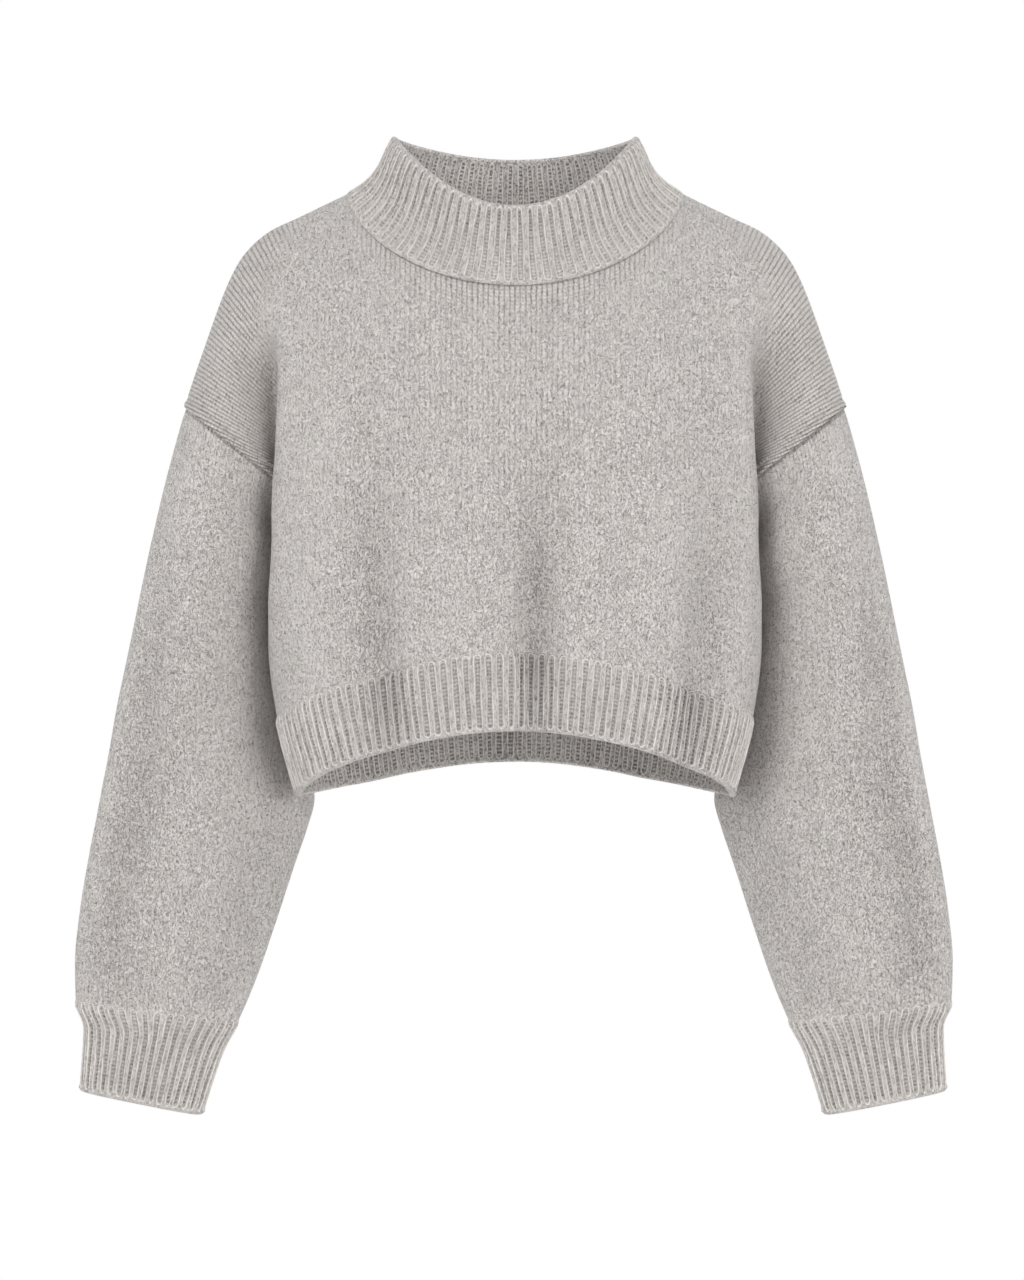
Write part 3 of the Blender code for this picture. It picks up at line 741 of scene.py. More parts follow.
class Field:
    """A number that changes over a surface. Its operators add Math nodes."""

    def __init__(self, graph: "Graph", socket: bpy.types.NodeSocket) -> None:
        """Wraps an output socket of the graph."""
        self.graph = graph
        self.socket = socket

    def __add__(self, other: "Field | float") -> "Field":
        """self + other."""
        return self.graph.math("ADD", self, other)

    def __sub__(self, other: "Field | float") -> "Field":
        """self - other."""
        return self.graph.math("SUBTRACT", self, other)

    def __rsub__(self, other: "Field | float") -> "Field":
        """other - self."""
        return self.graph.math("SUBTRACT", other, self)

    def __mul__(self, other: "Field | float") -> "Field":
        """self * other."""
        return self.graph.math("MULTIPLY", self, other)

    def __truediv__(self, other: "Field | float") -> "Field":
        """self / other."""
        return self.graph.math("DIVIDE", self, other)

    def __abs__(self) -> "Field":
        """abs(self)."""
        return self.graph.math("ABSOLUTE", self)

    def part(self) -> "Field":
        """What is left over the last whole number."""
        return self.graph.math("FRACT", self)

    def cosine(self) -> "Field":
        """The cosine of a whole turn for each whole number."""
        return self.graph.math("COSINE", self * (2 * math.pi))

    def step(self, start: float, full: float) -> "Field":
        """0 before start, 1 after full, and a soft ramp between.

        Args:
            start: the value where the ramp starts.
            full: the value where it ends.

        Returns:
            The field from 0 to 1.
        """
        settings = {"interpolation_type": "SMOOTHSTEP"}
        sockets = {"Value": self, "From Min": start, "From Max": full}
        node = self.graph.node("ShaderNodeMapRange", settings, sockets)
        return Field(self.graph, node.outputs[0])

    def near(self, place: float, width: float) -> "Field":
        """1 where the field is at a place, and softly 0 from a width away."""
        return (1 - abs(self - place) / width).step(0.0, 1.0)


class Graph:
    """The nodes of a material or of the sky."""

    def __init__(self, owner: bpy.types.Material | bpy.types.World, shader: str) -> None:
        """Starts the nodes of an owner round its shader.

        Args:
            owner: the material or the sky.
            shader: the name of its shader's node.
        """
        owner.use_nodes = True
        self.owner = owner
        self.tree = owner.node_tree
        self.shader = self.tree.nodes[shader]

    def node(self, kind: str, settings: dict, sockets: dict) -> bpy.types.Node:
        """Adds a node.

        Args:
            kind: the node's type.
            settings: its own properties, which are set first.
            sockets: a value or a link for each input, by name or number.

        Returns:
            The node.
        """
        node = self.tree.nodes.new(kind)
        for key, value in settings.items():
            setattr(node, key, value)
        for key, value in sockets.items():
            self.plug(node.inputs[key], value)
        return node

    def plug(self, socket: bpy.types.NodeSocket, value: object) -> None:
        """Links a field or a socket into an input, or sets the input's own value.

        Args:
            socket: the input.
            value: what goes into it.
        """
        source = value.socket if isinstance(value, Field) else value
        if isinstance(source, bpy.types.NodeSocket):
            self.tree.links.new(source, socket)
        else:
            socket.default_value = source

    def math(self, operation: str, *operands: "Field | float") -> Field:
        """A Math node on its operands."""
        node = self.node("ShaderNodeMath", {"operation": operation}, dict(enumerate(operands)))
        return Field(self, node.outputs[0])

    def vector(self, operation: str, *operands: object) -> bpy.types.NodeSocket:
        """A Vector Math node on its operands."""
        settings = {"operation": operation}
        return self.node("ShaderNodeVectorMath", settings, dict(enumerate(operands))).outputs[0]

    def noise(
        self, at: bpy.types.NodeSocket, size: float, detail: float, twist: float = 0.0
    ) -> Field:
        """A Noise texture whose features are about size metres across.

        Args:
            at: where the noise is read.
            size: how large its features are.
            detail: how many finer layers it has.
            twist: how far it is drawn into swirls.

        Returns:
            The noise, from 0 to 1 around 0.5.
        """
        sockets = {"Vector": at, "Scale": 1 / size, "Detail": detail, "Distortion": twist}
        node = self.node("ShaderNodeTexNoise", {}, sockets)
        return Field(self, node.outputs[0])

    def attribute(self, name: str) -> Field:
        """A number stored on the piece's own vertices."""
        node = self.node("ShaderNodeAttribute", {"attribute_name": name}, {})
        return Field(self, node.outputs["Fac"])

    def stitches(self) -> tuple[Field, Field]:
        """How many columns across and rows down a place lies, from the piece's UV map.

        Returns:
            Both counts.
        """
        chart = self.node("ShaderNodeUVMap", {"uv_map": UV_NAME}, {})
        split = self.node("ShaderNodeSeparateXYZ", {}, {0: chart.outputs[0]})
        return Field(self, split.outputs[0]), Field(self, split.outputs[1])

    def place(self) -> bpy.types.NodeSocket:
        """Where a point of the surface is, in metres."""
        return self.node("ShaderNodeTexCoord", {}, {}).outputs["Object"]

    def blend(self, share: Field, low: tuple, high: tuple) -> bpy.types.NodeSocket:
        """The colour that lies a share of the way from low to high."""
        sockets = {0: share, COLOUR_A: low, COLOUR_B: high}
        return self.node("ShaderNodeMix", {"data_type": "RGBA"}, sockets).outputs[COLOUR_RESULT]

    def bump(self, height: Field, depth: float, strength: float) -> bpy.types.NodeSocket:
        """The normal of a relief whose heights of 0 to 1 are depth metres apart."""
        sockets = {"Height": height, "Distance": depth, "Strength": strength}
        return self.node("ShaderNodeBump", {}, sockets).outputs[0]


def painted(name: str) -> Graph:
    """Starts a material with a Principled shader."""
    return Graph(bpy.data.materials.new(name), "Principled BSDF")


class Nap(NamedTuple):
    """The fields of a brushed surface, each from about 0 to 1."""

    curls: Field
    pits: Field
    fibres: Field
    clouds: Field


class Blend(NamedTuple):
    """How much of each field goes into the tone of a knit."""

    relief: float
    fibres: float
    clouds: float
    pits: float

    def tone(self, relief: Field, nap: Nap, pits: Field) -> Field:
        """How light the wool is, from 0 to 1."""
        # The relief's and the pits' shares are painted light on the crests and painted shade in the
        # pits; the fibres and clouds are the wool's own mottling.
        clouds = (nap.clouds - 0.5) * self.clouds
        return relief * self.relief + nap.fibres * self.fibres + clouds - pits * self.pits


@dataclass(frozen=True)
class BrushedWool:
    """Melange wool, brushed until the stitches are half hidden under a curly nap."""

    shade: tuple = (0.215, 0.196, 0.182, 1.0)
    light: tuple = (0.690, 0.655, 0.628, 1.0)
    roughness: float = 0.92
    specular: float = 0.2
    sheen: float = 0.6
    sheen_roughness: float = 0.30
    sheen_tint: tuple = (0.95, 0.93, 0.91, 1.0)
    curl_size: float = 0.0012
    curl_stretch: tuple = (1.0, 0.45, 0.60)
    curl_twist: float = 1.1
    curl_contrast: float = 2.4
    curl_ends: tuple = (-0.15, 0.9)
    pit_size: float = 0.0016
    pit_ends: tuple = (0.58, 0.70)
    fibre_size: float = 0.0006
    fibre_twist: float = 0.6
    cloud_size: float = 0.030
    sway_size: float = 0.006
    relief: float = 0.0014
    relief_strength: float = 0.9
    relief_share: float = 0.75
    painted_fold_shade: float = 0.27

    def dress(self, graph: Graph, height: Field, tone: Field) -> bpy.types.Material:
        """Finishes the shader from the relief and the tone of a knit.

        Args:
            graph: the material's nodes.
            height: the relief, from 0 to 1.
            tone: how light the wool is, from 0 to 1.

        Returns:
            The material.
        """
        sockets = graph.shader.inputs
        # Painted shade in the folds: the tone darkens in step with each fold's stored depth.
        tone = tone - graph.attribute(HOLLOW_NAME) * self.painted_fold_shade
        graph.plug(sockets["Base Color"], graph.blend(tone, self.shade, self.light))
        graph.plug(sockets["Normal"], graph.bump(height, self.relief, self.relief_strength))
        graph.plug(sockets["Roughness"], self.roughness)
        graph.plug(sockets["Specular IOR Level"], self.specular)
        graph.plug(sockets["Sheen Weight"], self.sheen)
        graph.plug(sockets["Sheen Roughness"], self.sheen_roughness)
        graph.plug(sockets["Sheen Tint"], self.sheen_tint)
        return graph.owner

    def nap(self, graph: Graph) -> Nap:
        """The curls, the pits between them, the single fibres and soft clouds of tone.

        Args:
            graph: the material's nodes.

        Returns:
            The four fields.
        """
        place = graph.place()
        drawn = graph.vector("MULTIPLY", place, self.curl_stretch)
        off_ridge = abs(graph.noise(drawn, self.curl_size, 1.0, self.curl_twist) * 2 - 1)
        return Nap(
            (1 - off_ridge * self.curl_contrast).step(*self.curl_ends),
            graph.noise(drawn, self.pit_size, 0.0).step(*self.pit_ends),
            graph.noise(place, self.fibre_size, 2.0, self.fibre_twist),
            graph.noise(place, self.cloud_size, 2.0),
        )

    def height(self, relief: Field, nap: Nap) -> Field:
        """The relief of a knit with its single fibres."""
        return relief * self.relief_share + nap.fibres * (1 - self.relief_share)

    def sway(self, graph: Graph) -> Field:
        """How far the stitches wander from their grid, from about -0.5 to 0.5."""
        return graph.noise(graph.place(), self.sway_size, 1.0) - 0.5


@dataclass(frozen=True)
class PlainKnit(BrushedWool):
    """Columns of small V stitches that come and go under the nap."""

    blend: Blend = Blend(relief=0.76, fibres=0.72, clouds=0.15, pits=0.42)
    column_sway: float = 0.4
    row_sway: float = 0.6
    leg_slope: float = 0.5
    groove_share: float = 0.6
    stitch_height: float = 0.50
    column_height: float = 0.40
    curl_height: float = 1.12
    curl_sink: float = 0.06
    pit_share: float = 0.6
    pit_sink: float = 0.5
    pit_row: float = 0.0066
    pit_width: float = 0.0010
    knit_middle: float = 0.42
    knit_contrast: float = 0.35
    knit_shade: float = 0.10
    shadow_line_place: float = -0.0014
    shadow_line_width: float = 0.0026
    painted_shadow_line: float = 0.45
    whole_shade: float = 0.10

    def paint(self, name: str) -> bpy.types.Material:
        """Makes the material.

        Args:
            name: its name.

        Returns:
            The material.
        """
        graph = painted(name)
        column, row = graph.stitches()
        clear = graph.attribute(CLEAR_NAME)
        brink = graph.attribute(BRINK_NAME)
        nap, sway = self.nap(graph), self.sway(graph)
        beside = abs((column + sway * self.column_sway).part() - 0.5) * 2
        leg = (row + beside * self.leg_slope + sway * self.row_sway).part()
        stitch = 1 - abs(leg - 0.5) * 2
        knit = stitch * self.stitch_height + self.column_height
        knit = knit * (1 - beside).step(0.0, self.groove_share)
        brushed = nap.curls * self.curl_height - self.curl_sink
        relief = knit * clear + brushed * (1 - clear)
        pits = nap.pits * self.pit_share + brink.near(self.pit_row, self.pit_width) * stitch
        tone = self.blend.tone(relief, nap, pits)
        # Painted light and shade of the stitches where they show: the raised V stitches lighter,
        # the grooves between columns darker.
        tone = tone + (knit - self.knit_middle) * clear * self.knit_contrast
        tone = tone - clear * self.knit_shade - self.whole_shade
        # Painted shadow: a dark line on the sleeve just under the body's armhole welt, reaching
        # onto the welt's rolled edge.
        tone = tone - brink.near(self.shadow_line_place, self.shadow_line_width) * self.painted_shadow_line
        return self.dress(graph, self.height(relief, nap) - pits * self.pit_sink, tone)


@dataclass(frozen=True)
class Ribbing(BrushedWool):
    """Cords along both sides of channels, purl bars across; painted light on cords, painted shade
    in channels.
    """

    shade: tuple = (0.150, 0.137, 0.127, 1.0)
    light: tuple = (0.88, 0.836, 0.80, 1.0)
    blend: Blend = Blend(relief=0.62, fibres=0.45, clouds=0.15, pits=0.15)
    channel_ends: tuple = (-0.0005, 0.0004)
    cord_place: float = 0.0007
    cord_width: float = 0.0007
    cord_height: float = 1.15
    rib_curls: float = 0.70
    base_height: float = 0.02
    bar_sway: float = 0.8
    bar_height: float = 0.35
    channel_curls: float = 0.40
    faded_rise: float = 0.20
    hole_place: float = -0.0006
    hole_width: float = 0.0006
    hole_shade: float = 0.22
    tone_middle: float = 0.45
    tone_lift: float = 0.01
    painted_inside_contrast: float = 0.8

    def paint(self, name: str) -> bpy.types.Material:
        """Makes the material.

        Args:
            name: its name.

        Returns:
            The material.
        """
        graph = painted(name)
        row = graph.stitches()[1]
        clear = graph.attribute(CLEAR_NAME)
        brink = graph.attribute(BRINK_NAME)
        nap, sway = self.nap(graph), self.sway(graph)
        channel = 1 - brink.step(*self.channel_ends)
        cord = brink.near(self.cord_place, self.cord_width)
        bars = (row + sway * self.bar_sway).cosine() * 0.5 + 0.5
        between = nap.curls * self.rib_curls + self.base_height
        knit = cord * self.cord_height + between * (1 - cord)
        purl = bars * self.bar_height + nap.curls * self.channel_curls
        purl = purl + (1 - clear) * self.faded_rise + self.base_height
        relief = knit * (1 - channel) + purl * channel
        holes = brink.near(self.hole_place, self.hole_width) * (1 - bars)
        # The relief's share of the tone paints the cords light and the channels dark.
        tone = self.blend.tone(relief, nap, nap.pits) - holes * self.hole_shade
        # The smooth inside walls get a stronger tone pattern: painted light on the cords and
        # painted shade in the channels, standing in for relief they lack.
        contrast = graph.attribute(INSIDE_NAME) * self.painted_inside_contrast + 1
        tone = (tone - self.tone_middle) * contrast + self.tone_middle + self.tone_lift
        return self.dress(graph, self.height(relief, nap), tone)


# ---------------------------------------------------------------- pieces of cloth


@dataclass
class Cloth:
    """One closed wall of cloth on a grid of rows and columns."""

    name: str
    outer: np.ndarray
    inner: np.ndarray
    stitches: np.ndarray
    clear: np.ndarray
    brink: np.ndarray
    depth: np.ndarray
    closed: bool
    finish: bpy.types.Material
    sharp_angle: float = 70.0
    weld: float = 1e-6

    def build(self) -> bpy.types.Object:
        """Bends a grid over both faces and closes it along its edges.

        Returns:
            The finished piece, at the origin.
        """
        down, across = (size - 1 for size in self.outer.shape[:2])
        sheet = bmesh.new()
        sheet.loops.layers.uv.new(UV_NAME)
        bmesh.ops.create_grid(sheet, x_segments=across, y_segments=down, size=0.5, calc_uvs=True)
        column = sheet.verts.layers.int.new("column")
        row = sheet.verts.layers.int.new("row")
        inside = sheet.verts.layers.int.new(INSIDE_NAME)
        for vert in sheet.verts:
            vert[column] = round((vert.co.x + 0.5) * across)
            vert[row] = round((vert.co.y + 0.5) * down)
            vert.co = self.outer[vert[row], vert[column]]
        if self.closed:
            edge = [vert for vert in sheet.verts if vert[column] in (0, across)]
            bmesh.ops.remove_doubles(sheet, verts=edge, dist=self.weld)
        known = set(sheet.verts)
        everything = list(sheet.verts) + list(sheet.edges) + list(sheet.faces)
        bmesh.ops.extrude_face_region(sheet, geom=everything, use_keep_orig=True)
        for vert in sheet.verts:
            if vert not in known:
                vert[inside] = 1
                vert.co = self.inner[vert[row], vert[column]]
        bmesh.ops.recalc_face_normals(sheet, faces=sheet.faces)
        mesh = bpy.data.meshes.new(self.name)
        sheet.to_mesh(mesh)
        sheet.free()
        self.chart(mesh)
        mesh.materials.append(self.finish)
        mesh.shade_smooth()
        mesh.set_sharp_from_angle(angle=math.radians(self.sharp_angle))
        piece = bpy.data.objects.new(self.name, mesh)
        bpy.context.scene.collection.objects.link(piece)
        return piece

    def chart(self, mesh: bpy.types.Mesh) -> None:
        """Turns the grid's own UVs into counts of stitches, and stores the other fields.

        Args:
            mesh: the piece's mesh.
        """
        down, across = (size - 1 for size in self.outer.shape[:2])
        chart = mesh.uv_layers[UV_NAME].uv
        flat = np.empty(2 * len(chart), dtype=np.float32)
        chart.foreach_get("vector", flat)
        grid = flat.reshape(-1, 2)
        columns = np.rint(grid[:, 0] * across).astype(int)
        rows = np.rint(grid[:, 1] * down).astype(int)
        counts = self.stitches[rows, columns].astype(np.float32)
        chart.foreach_set("vector", counts.ravel())
        spots = {}
        for key in ("row", "column", INSIDE_NAME):
            values = np.empty(len(mesh.vertices), dtype=np.int32)
            mesh.attributes[key].data.foreach_get("value", values)
            mesh.attributes.remove(mesh.attributes[key])
            spots[key] = values
        at = spots["row"], spots["column"]
        # Each fold's depth is stored so that the finish can paint shade into the folds.
        fields = {
            CLEAR_NAME: self.clear[at],
            BRINK_NAME: self.brink[at],
            HOLLOW_NAME: self.depth[at] / DEEP_FOLD,
            INSIDE_NAME: spots[INSIDE_NAME],
        }
        for key, values in fields.items():
            stored = mesh.attributes.new(key, "FLOAT", "POINT")
            stored.data.foreach_set("value", values.astype(np.float32))


def dressed(piece: bpy.types.Object, node: str) -> None:
    """Hangs a sheet of cloth under the root and hides the solid that it replaces.

    Args:
        piece: the sheet.
        node: the solid that it replaces.
    """
    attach(piece, "root")
    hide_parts(node)
    piece.data.calc_loop_triangles()
    log.info("%s: %d triangles", piece.name, len(piece.data.loop_triangles))


@dataclass
class PanelGrid:
    """The points of a panel's grid, and where on the panel each of them lies.

    The last three are lengths of cloth: to the upper edge, to the nearer side edge and, where
    the armhole is near, to that.
    """

    turn: np.ndarray
    across: np.ndarray
    along: np.ndarray
    plain: np.ndarray
    from_top: np.ndarray
    from_side: np.ndarray
    from_arm: np.ndarray

    @property
    def u(self) -> np.ndarray:
        """How far across each point lies, on either side."""
        return np.abs(self.across)


@dataclass
class Panel:
    """The front or the back: a plain-knit panel from neck and shoulder to the hem rib."""

    face: Face
    form: Form
    finish: bpy.types.Material
    flat: tuple = (0.52, 0.40)
    cut_area: float = 0.178
    neck_columns: int = 44
    shoulder_columns: int = 52
    upper_rows: int = 66
    lower_rows: int = 44
    lip: float = 0.004
    arm_share: float = 0.9
    seam_squared: float = 0.006
    squared_full: float = 0.54
    edge_radius: float = 0.0012
    seam_radius: float = 0.0008
    welt_width: float = 0.0046
    welt_height: float = 0.0011
    welt_start: tuple = (0.0, 0.04)
    welt_end: tuple = (0.46, UNDERARM)
    groove_place: float = 0.00644
    groove_width: float = 0.00092
    groove_depth: float = 0.0006
    tuck_depth: float = 0.0026
    tuck_width: float = 0.0050
    tuck_ends: tuple = (0.36, 0.50)
    wale: float = 0.0039
    course: float = 0.0031
    girth_points: int = 200
    fan_pivot: tuple = (0.078, -0.240)
    fan_step: float = 0.0166
    fan_reach: float = 0.05
    fan_spill: float = 0.15
    fan_spill_ends: tuple = (0.02, 0.34)
    fan_end: float = 0.56
    base_clear: float = 0.12
    join_ends: tuple = (0.008, 0.03)
    neck_clear: float = 0.42
    neck_ends: tuple = (0.004, 0.035)
    chest_clear: float = 0.20
    chest_spread: float = 0.09
    chest_ends: tuple = (0.15, 0.7)
    arm_clear: float = 0.66
    arm_ends: tuple = (0.008, 0.13)
    arm_fade: float = 0.44
    welt_clear: tuple = (0.002, 0.008)

    def stations(self) -> tuple[np.ndarray, np.ndarray]:
        """The grid's columns across the panel and its rows down it.

        Returns:
            The places of both, in order.
        """
        share = self.form.neck_share
        neck = np.linspace(0.0, share, self.neck_columns + 1)
        shoulder = clustered(share, 1.0, self.shoulder_columns, (False, True), self.lip)
        half = np.concatenate((neck, shoulder[1:]))
        upper = clustered(0.0, UNDERARM, self.upper_rows, (True, False), self.lip)
        lower = np.linspace(UNDERARM, 1.0, self.lower_rows + 1)
        return np.concatenate((-half[:0:-1], half)), np.concatenate((upper, lower[1:]))

    def grid(self) -> PanelGrid:
        """Lays the panel's points on the form.

        Returns:
            The points and where they lie.
        """
        across, along = np.meshgrid(*self.stations())
        turn = across if self.face is Face.FRONT else 2 - across
        plain = self.form.body(turn, along)
        from_edge = run_down(np.swapaxes(plain, 0, 1)).T
        from_side = np.minimum(from_edge, from_edge[:, -1:] - from_edge)
        by_arm = (along <= UNDERARM) & (np.abs(across) > self.arm_share)
        from_arm = np.where(by_arm, from_side, FAR)
        return PanelGrid(turn, across, along, plain, run_down(plain), from_side, from_arm)

    def build(self) -> bpy.types.Object:
        """Makes the panel.

        Returns:
            The piece.
        """
        grid = self.grid()
        outward = 1.0 if self.face is Face.FRONT else -1.0
        facing = self.squared(grid, facing_of(grid.plain, False, outward))
        from_shoulder = np.where(grid.u > self.form.neck_share, grid.from_top, FAR)
        by_seam = rolled(np.minimum(grid.from_side, from_shoulder), self.seam_radius)
        roll = np.minimum(rolled(grid.from_arm, self.edge_radius), by_seam)
        outer, inner = faces_of(grid.plain, facing, self.relief(grid), WALL / 2 * roll)
        piece = Cloth(
            name=f"{self.face.value}_knit",
            outer=outer,
            inner=inner,
            stitches=self.chart(grid),
            clear=self.clearness(grid),
            brink=grid.from_arm,
            depth=self.form.body_depth(grid.turn, grid.along),
            closed=False,
            finish=self.finish,
        ).build()
        dressed(piece, self.face.value)
        return piece

    def relief(self, grid: PanelGrid) -> np.ndarray:
        """How far the armhole's welt, its groove and the tuck under the collar move the cloth.

        Args:
            grid: the panel's points.

        Returns:
            How far out each point is moved.
        """
        welt = bell(grid.from_arm - self.welt_width / 2, self.welt_width / 2) * self.welt_height
        welt = welt * ease(grid.along, *self.welt_start) * (1 - ease(grid.along, *self.welt_end))
        groove = bell(grid.from_arm - self.groove_place, self.groove_width) * self.groove_depth
        tuck = (1 - ease(grid.from_top, 0.0, self.tuck_width)) * self.tuck_depth
        return welt - groove - tuck * (1 - ease(grid.u, *self.tuck_ends))

    def squared(self, grid: PanelGrid, facing: np.ndarray) -> np.ndarray:
        """Turns the facings by a seam into the seam's plane, so that two panels' walls meet there.

        Args:
            grid: the panel's points.
            facing: which way the cloth faces.

        Returns:
            The facings to build the wall on.
        """
        upper = grid.along <= UNDERARM
        level = in_plane(facing, np.array([0.0, 1.0, 0.0]))
        by_shoulder = 1 - ease(grid.from_top, 0.0, self.seam_squared)
        by_shoulder = by_shoulder * ease(grid.u, self.form.neck_share, self.squared_full)
        by_side = 1 - ease(grid.from_side, 0.0, self.seam_squared)
        share = np.maximum(by_shoulder, np.where(upper, 0.0, by_side))[..., None]
        facing = unit(facing * (1 - share) + level * share)
        for side in SIDES.values():
            here = upper & (np.sign(grid.across) == side)
            share = np.where(here, by_side, 0.0)[..., None]
            laid = in_plane(facing, self.form.armhole_axis(side))
            facing = unit(facing * (1 - share) + laid * share)
        return facing

    def over_arm(self, grid: PanelGrid) -> np.ndarray:
        """How far across a place lies past the start of the arm's fan of wales."""
        reach = self.fan_reach + self.fan_spill * (1 - ease(grid.along, *self.fan_spill_ends))
        return grid.u - smooth(ARM_CREASE, "across", grid.along) + reach

    def chart(self, grid: PanelGrid) -> np.ndarray:
        """Counts stitches: straight down the chest, and in a fan beside the armhole.

        Args:
            grid: the panel's points.

        Returns:
            The column and the row of each point.
        """
        out = np.abs(grid.plain[..., 0])
        half = np.linspace(0.0, 1.0, self.girth_points)
        level = self.form.torso(half, np.ones_like(half), np.full(half.shape, True))
        straight = np.interp(out, level[:, 0], run_down(level[:, None])[:, 0]) / self.wale
        pivot_out, pivot_up = self.fan_pivot
        fan = np.arctan2(grid.plain[..., 2] - pivot_up, out - pivot_out) / self.fan_step
        is_fan = (self.over_arm(grid) > 0) & (grid.along < self.fan_end)
        columns = np.where(is_fan, fan, straight) * np.where(grid.across < 0, -1.0, 1.0)
        return np.stack((columns, grid.from_top / self.course), axis=-1)

    def clearness(self, grid: PanelGrid) -> np.ndarray:
        """How clearly the stitches show: under the collar, over the arms and by the armholes.

        Args:
            grid: the panel's points.

        Returns:
            A share from 0 to 1 for each point.
        """
        over = self.over_arm(grid)
        by_side = np.where(grid.along < self.fan_end, np.abs(over), FAR)
        by_foot = np.where(over > 0, np.abs(grid.along - self.fan_end), FAR)
        base = self.base_clear * ease(np.minimum(by_side, by_foot), *self.join_ends)
        neck = (1 - ease(grid.from_top, *self.neck_ends)) * (1 - ease(grid.u, *self.tuck_ends))
        chest = 1 - ease(grid.along, *self.chest_ends)
        chest = chest * bell(grid.plain[..., 0], self.chest_spread)
        middle = neck * self.neck_clear + chest * self.chest_clear
        arm = ease(over, *self.arm_ends) * (1 - ease(grid.along, self.arm_fade, self.fan_end))
        welt = 1 - ease(grid.from_arm, *self.welt_clear)
        strongest = np.maximum(middle, np.maximum(arm * self.arm_clear, welt))
        return np.clip(base + strongest, 0.0, 1.0)


@dataclass
class RibPattern:
    """The relief of one rib and the channel beside it."""

    relief: float = 0.0024
    crest: float = 0.0009
    cord: float = 0.0009
    cord_place: float = 0.0008
    cord_spread: float = 0.0007
    softness: float = 0.0006

    def profile(
        self,
        phase: np.ndarray,
        period: np.ndarray,
        half_channel: np.ndarray,
        past_end: np.ndarray,
        clear: np.ndarray,
    ) -> tuple[np.ndarray, np.ndarray]:
        """How far the cloth stands over its plain surface, and how far a channel's edge is.

        Args:
            phase: counts the ribs, whole at the middle of each rib.
            period: the width of one rib and its channel.
            half_channel: half the channel's width.
            past_end: how far a point lies past the end of its channel, toward an edge.
            clear: how much of the channel's depth is left.

        Returns:
            The height and the distance from the channel's edge, which is negative in the channel.
        """
        off = np.abs((phase + 0.5) % 1 - 0.5) * period
        brink = np.hypot(period / 2 - off, np.maximum(past_end, 0.0)) - half_channel
        bottom = 1 - ease(brink / self.softness, -1.0, 1.0)
        cord = bell(brink - self.cord_place, self.cord_spread) * self.cord
        return self.crest + cord - bottom * self.relief * clear, brink


@dataclass
class Band:
    """A ribbed tube: the collar, the hem rib or a cuff."""

    name: str
    node: str
    surface: Callable[[np.ndarray, np.ndarray], np.ndarray]
    depth: Callable[[np.ndarray, np.ndarray], np.ndarray]
    span: tuple
    rows_between: tuple
    ribs: int
    outward: float
    finish: bpy.types.Material
    flat: tuple
    channel_share: tuple = (0.36, 0.40)
    channel_change: float = 0.05
    columns_per_rib: int = 12
    rows: int = 20
    lip: float = 0.02
    bound: float = 0.0036
    seam_bound: float = 0.0016
    seam_rise: float = 0.0
    rise_length: float = 0.005
    edge_swell: float = 0.0009
    swell_ends: tuple = (0.00252, 0.0054)
    edge_radius: float = 0.0021
    seam_radius: float = 0.0
    course: float = 0.0030
    wander: float = 0.03
    waves: tuple = ((5.1, 130.0), (2.3, -70.0))
    seam_fade: float = 0.15
    fade_ends: tuple = (0.0, 0.020)
    pattern: RibPattern = field(default_factory=RibPattern)

    def even_turns(self, along: float) -> np.ndarray:
        """The columns, spaced so that the ribs are equally wide along one row.

        Args:
            along: the row.

        Returns:
            Where round the band each column lies.
        """
        turns = np.linspace(*self.span, TRIAL_POINTS)
        run = run_down(self.surface(turns, np.full_like(turns, along))[:, None])[:, 0]
        even = np.linspace(0.0, run[-1], self.ribs * self.columns_per_rib + 1)
        return np.interp(even, run, turns)

    def widths(self, plain: np.ndarray) -> np.ndarray:
        """How wide a rib and its channel are at each point of the grid.

        Args:
            plain: the band's points.

        Returns:
            A width for each point.
        """
        width = np.linalg.norm(np.diff(plain, axis=1), axis=-1)
        width = np.concatenate((width, width[:, :1]), axis=1)
        return (width + np.roll(width, 1, axis=1)) / 2 * self.columns_per_rib

    def build(self) -> bpy.types.Object:
        """Makes the band, from its seam to its bound edge.

        Returns:
            The piece.
        """
        start, end = self.rows_between
        turns = self.even_turns((start + end) / 2)
        along = clustered(start, end, self.rows, (True, True), self.lip * (end - start))
        places = np.meshgrid(turns, along)
        plain = self.surface(*places)
        facing = facing_of(plain, True, self.outward)
        down = run_down(plain)
        to_edge = down[-1:] - down
        width = self.widths(plain)
        phase = np.broadcast_to(np.arange(len(turns)) / self.columns_per_rib, width.shape)
        waves = (np.sin(phase * by_rib + down * by_row) for by_rib, by_row in self.waves)
        at_edge, at_seam = self.channel_share
        share = at_edge + (at_seam - at_edge) * ease(to_edge, 0.0, self.channel_change)
        half_channel = share * width / 2
        past_end = half_channel + np.maximum(self.bound - to_edge, self.seam_bound - down)
        clear = 1 - self.seam_fade * (1 - ease(down, *self.fade_ends))
        swayed = phase + self.wander * sum(waves)
        height, brink = self.pattern.profile(swayed, width, half_channel, past_end, clear)
        rise = self.seam_rise + (1 - self.seam_rise) * ease(down, 0.0, self.rise_length)
        swell = self.edge_swell * (1 - ease(to_edge, *self.swell_ends))
        roll = rolled(to_edge, self.edge_radius) * rolled(down, self.seam_radius)
        lift = height * rise / 2
        outer, inner = faces_of(plain, facing, lift, (WALL / 2 + lift + swell) * roll)
        piece = Cloth(
            name=self.name,
            outer=outer,
            inner=inner,
            stitches=np.stack((phase, down / self.course), axis=-1),
            clear=clear,
            brink=brink,
            depth=self.depth(*places),
            closed=True,
            finish=self.finish,
        ).build()
        dressed(piece, self.node)
        return piece


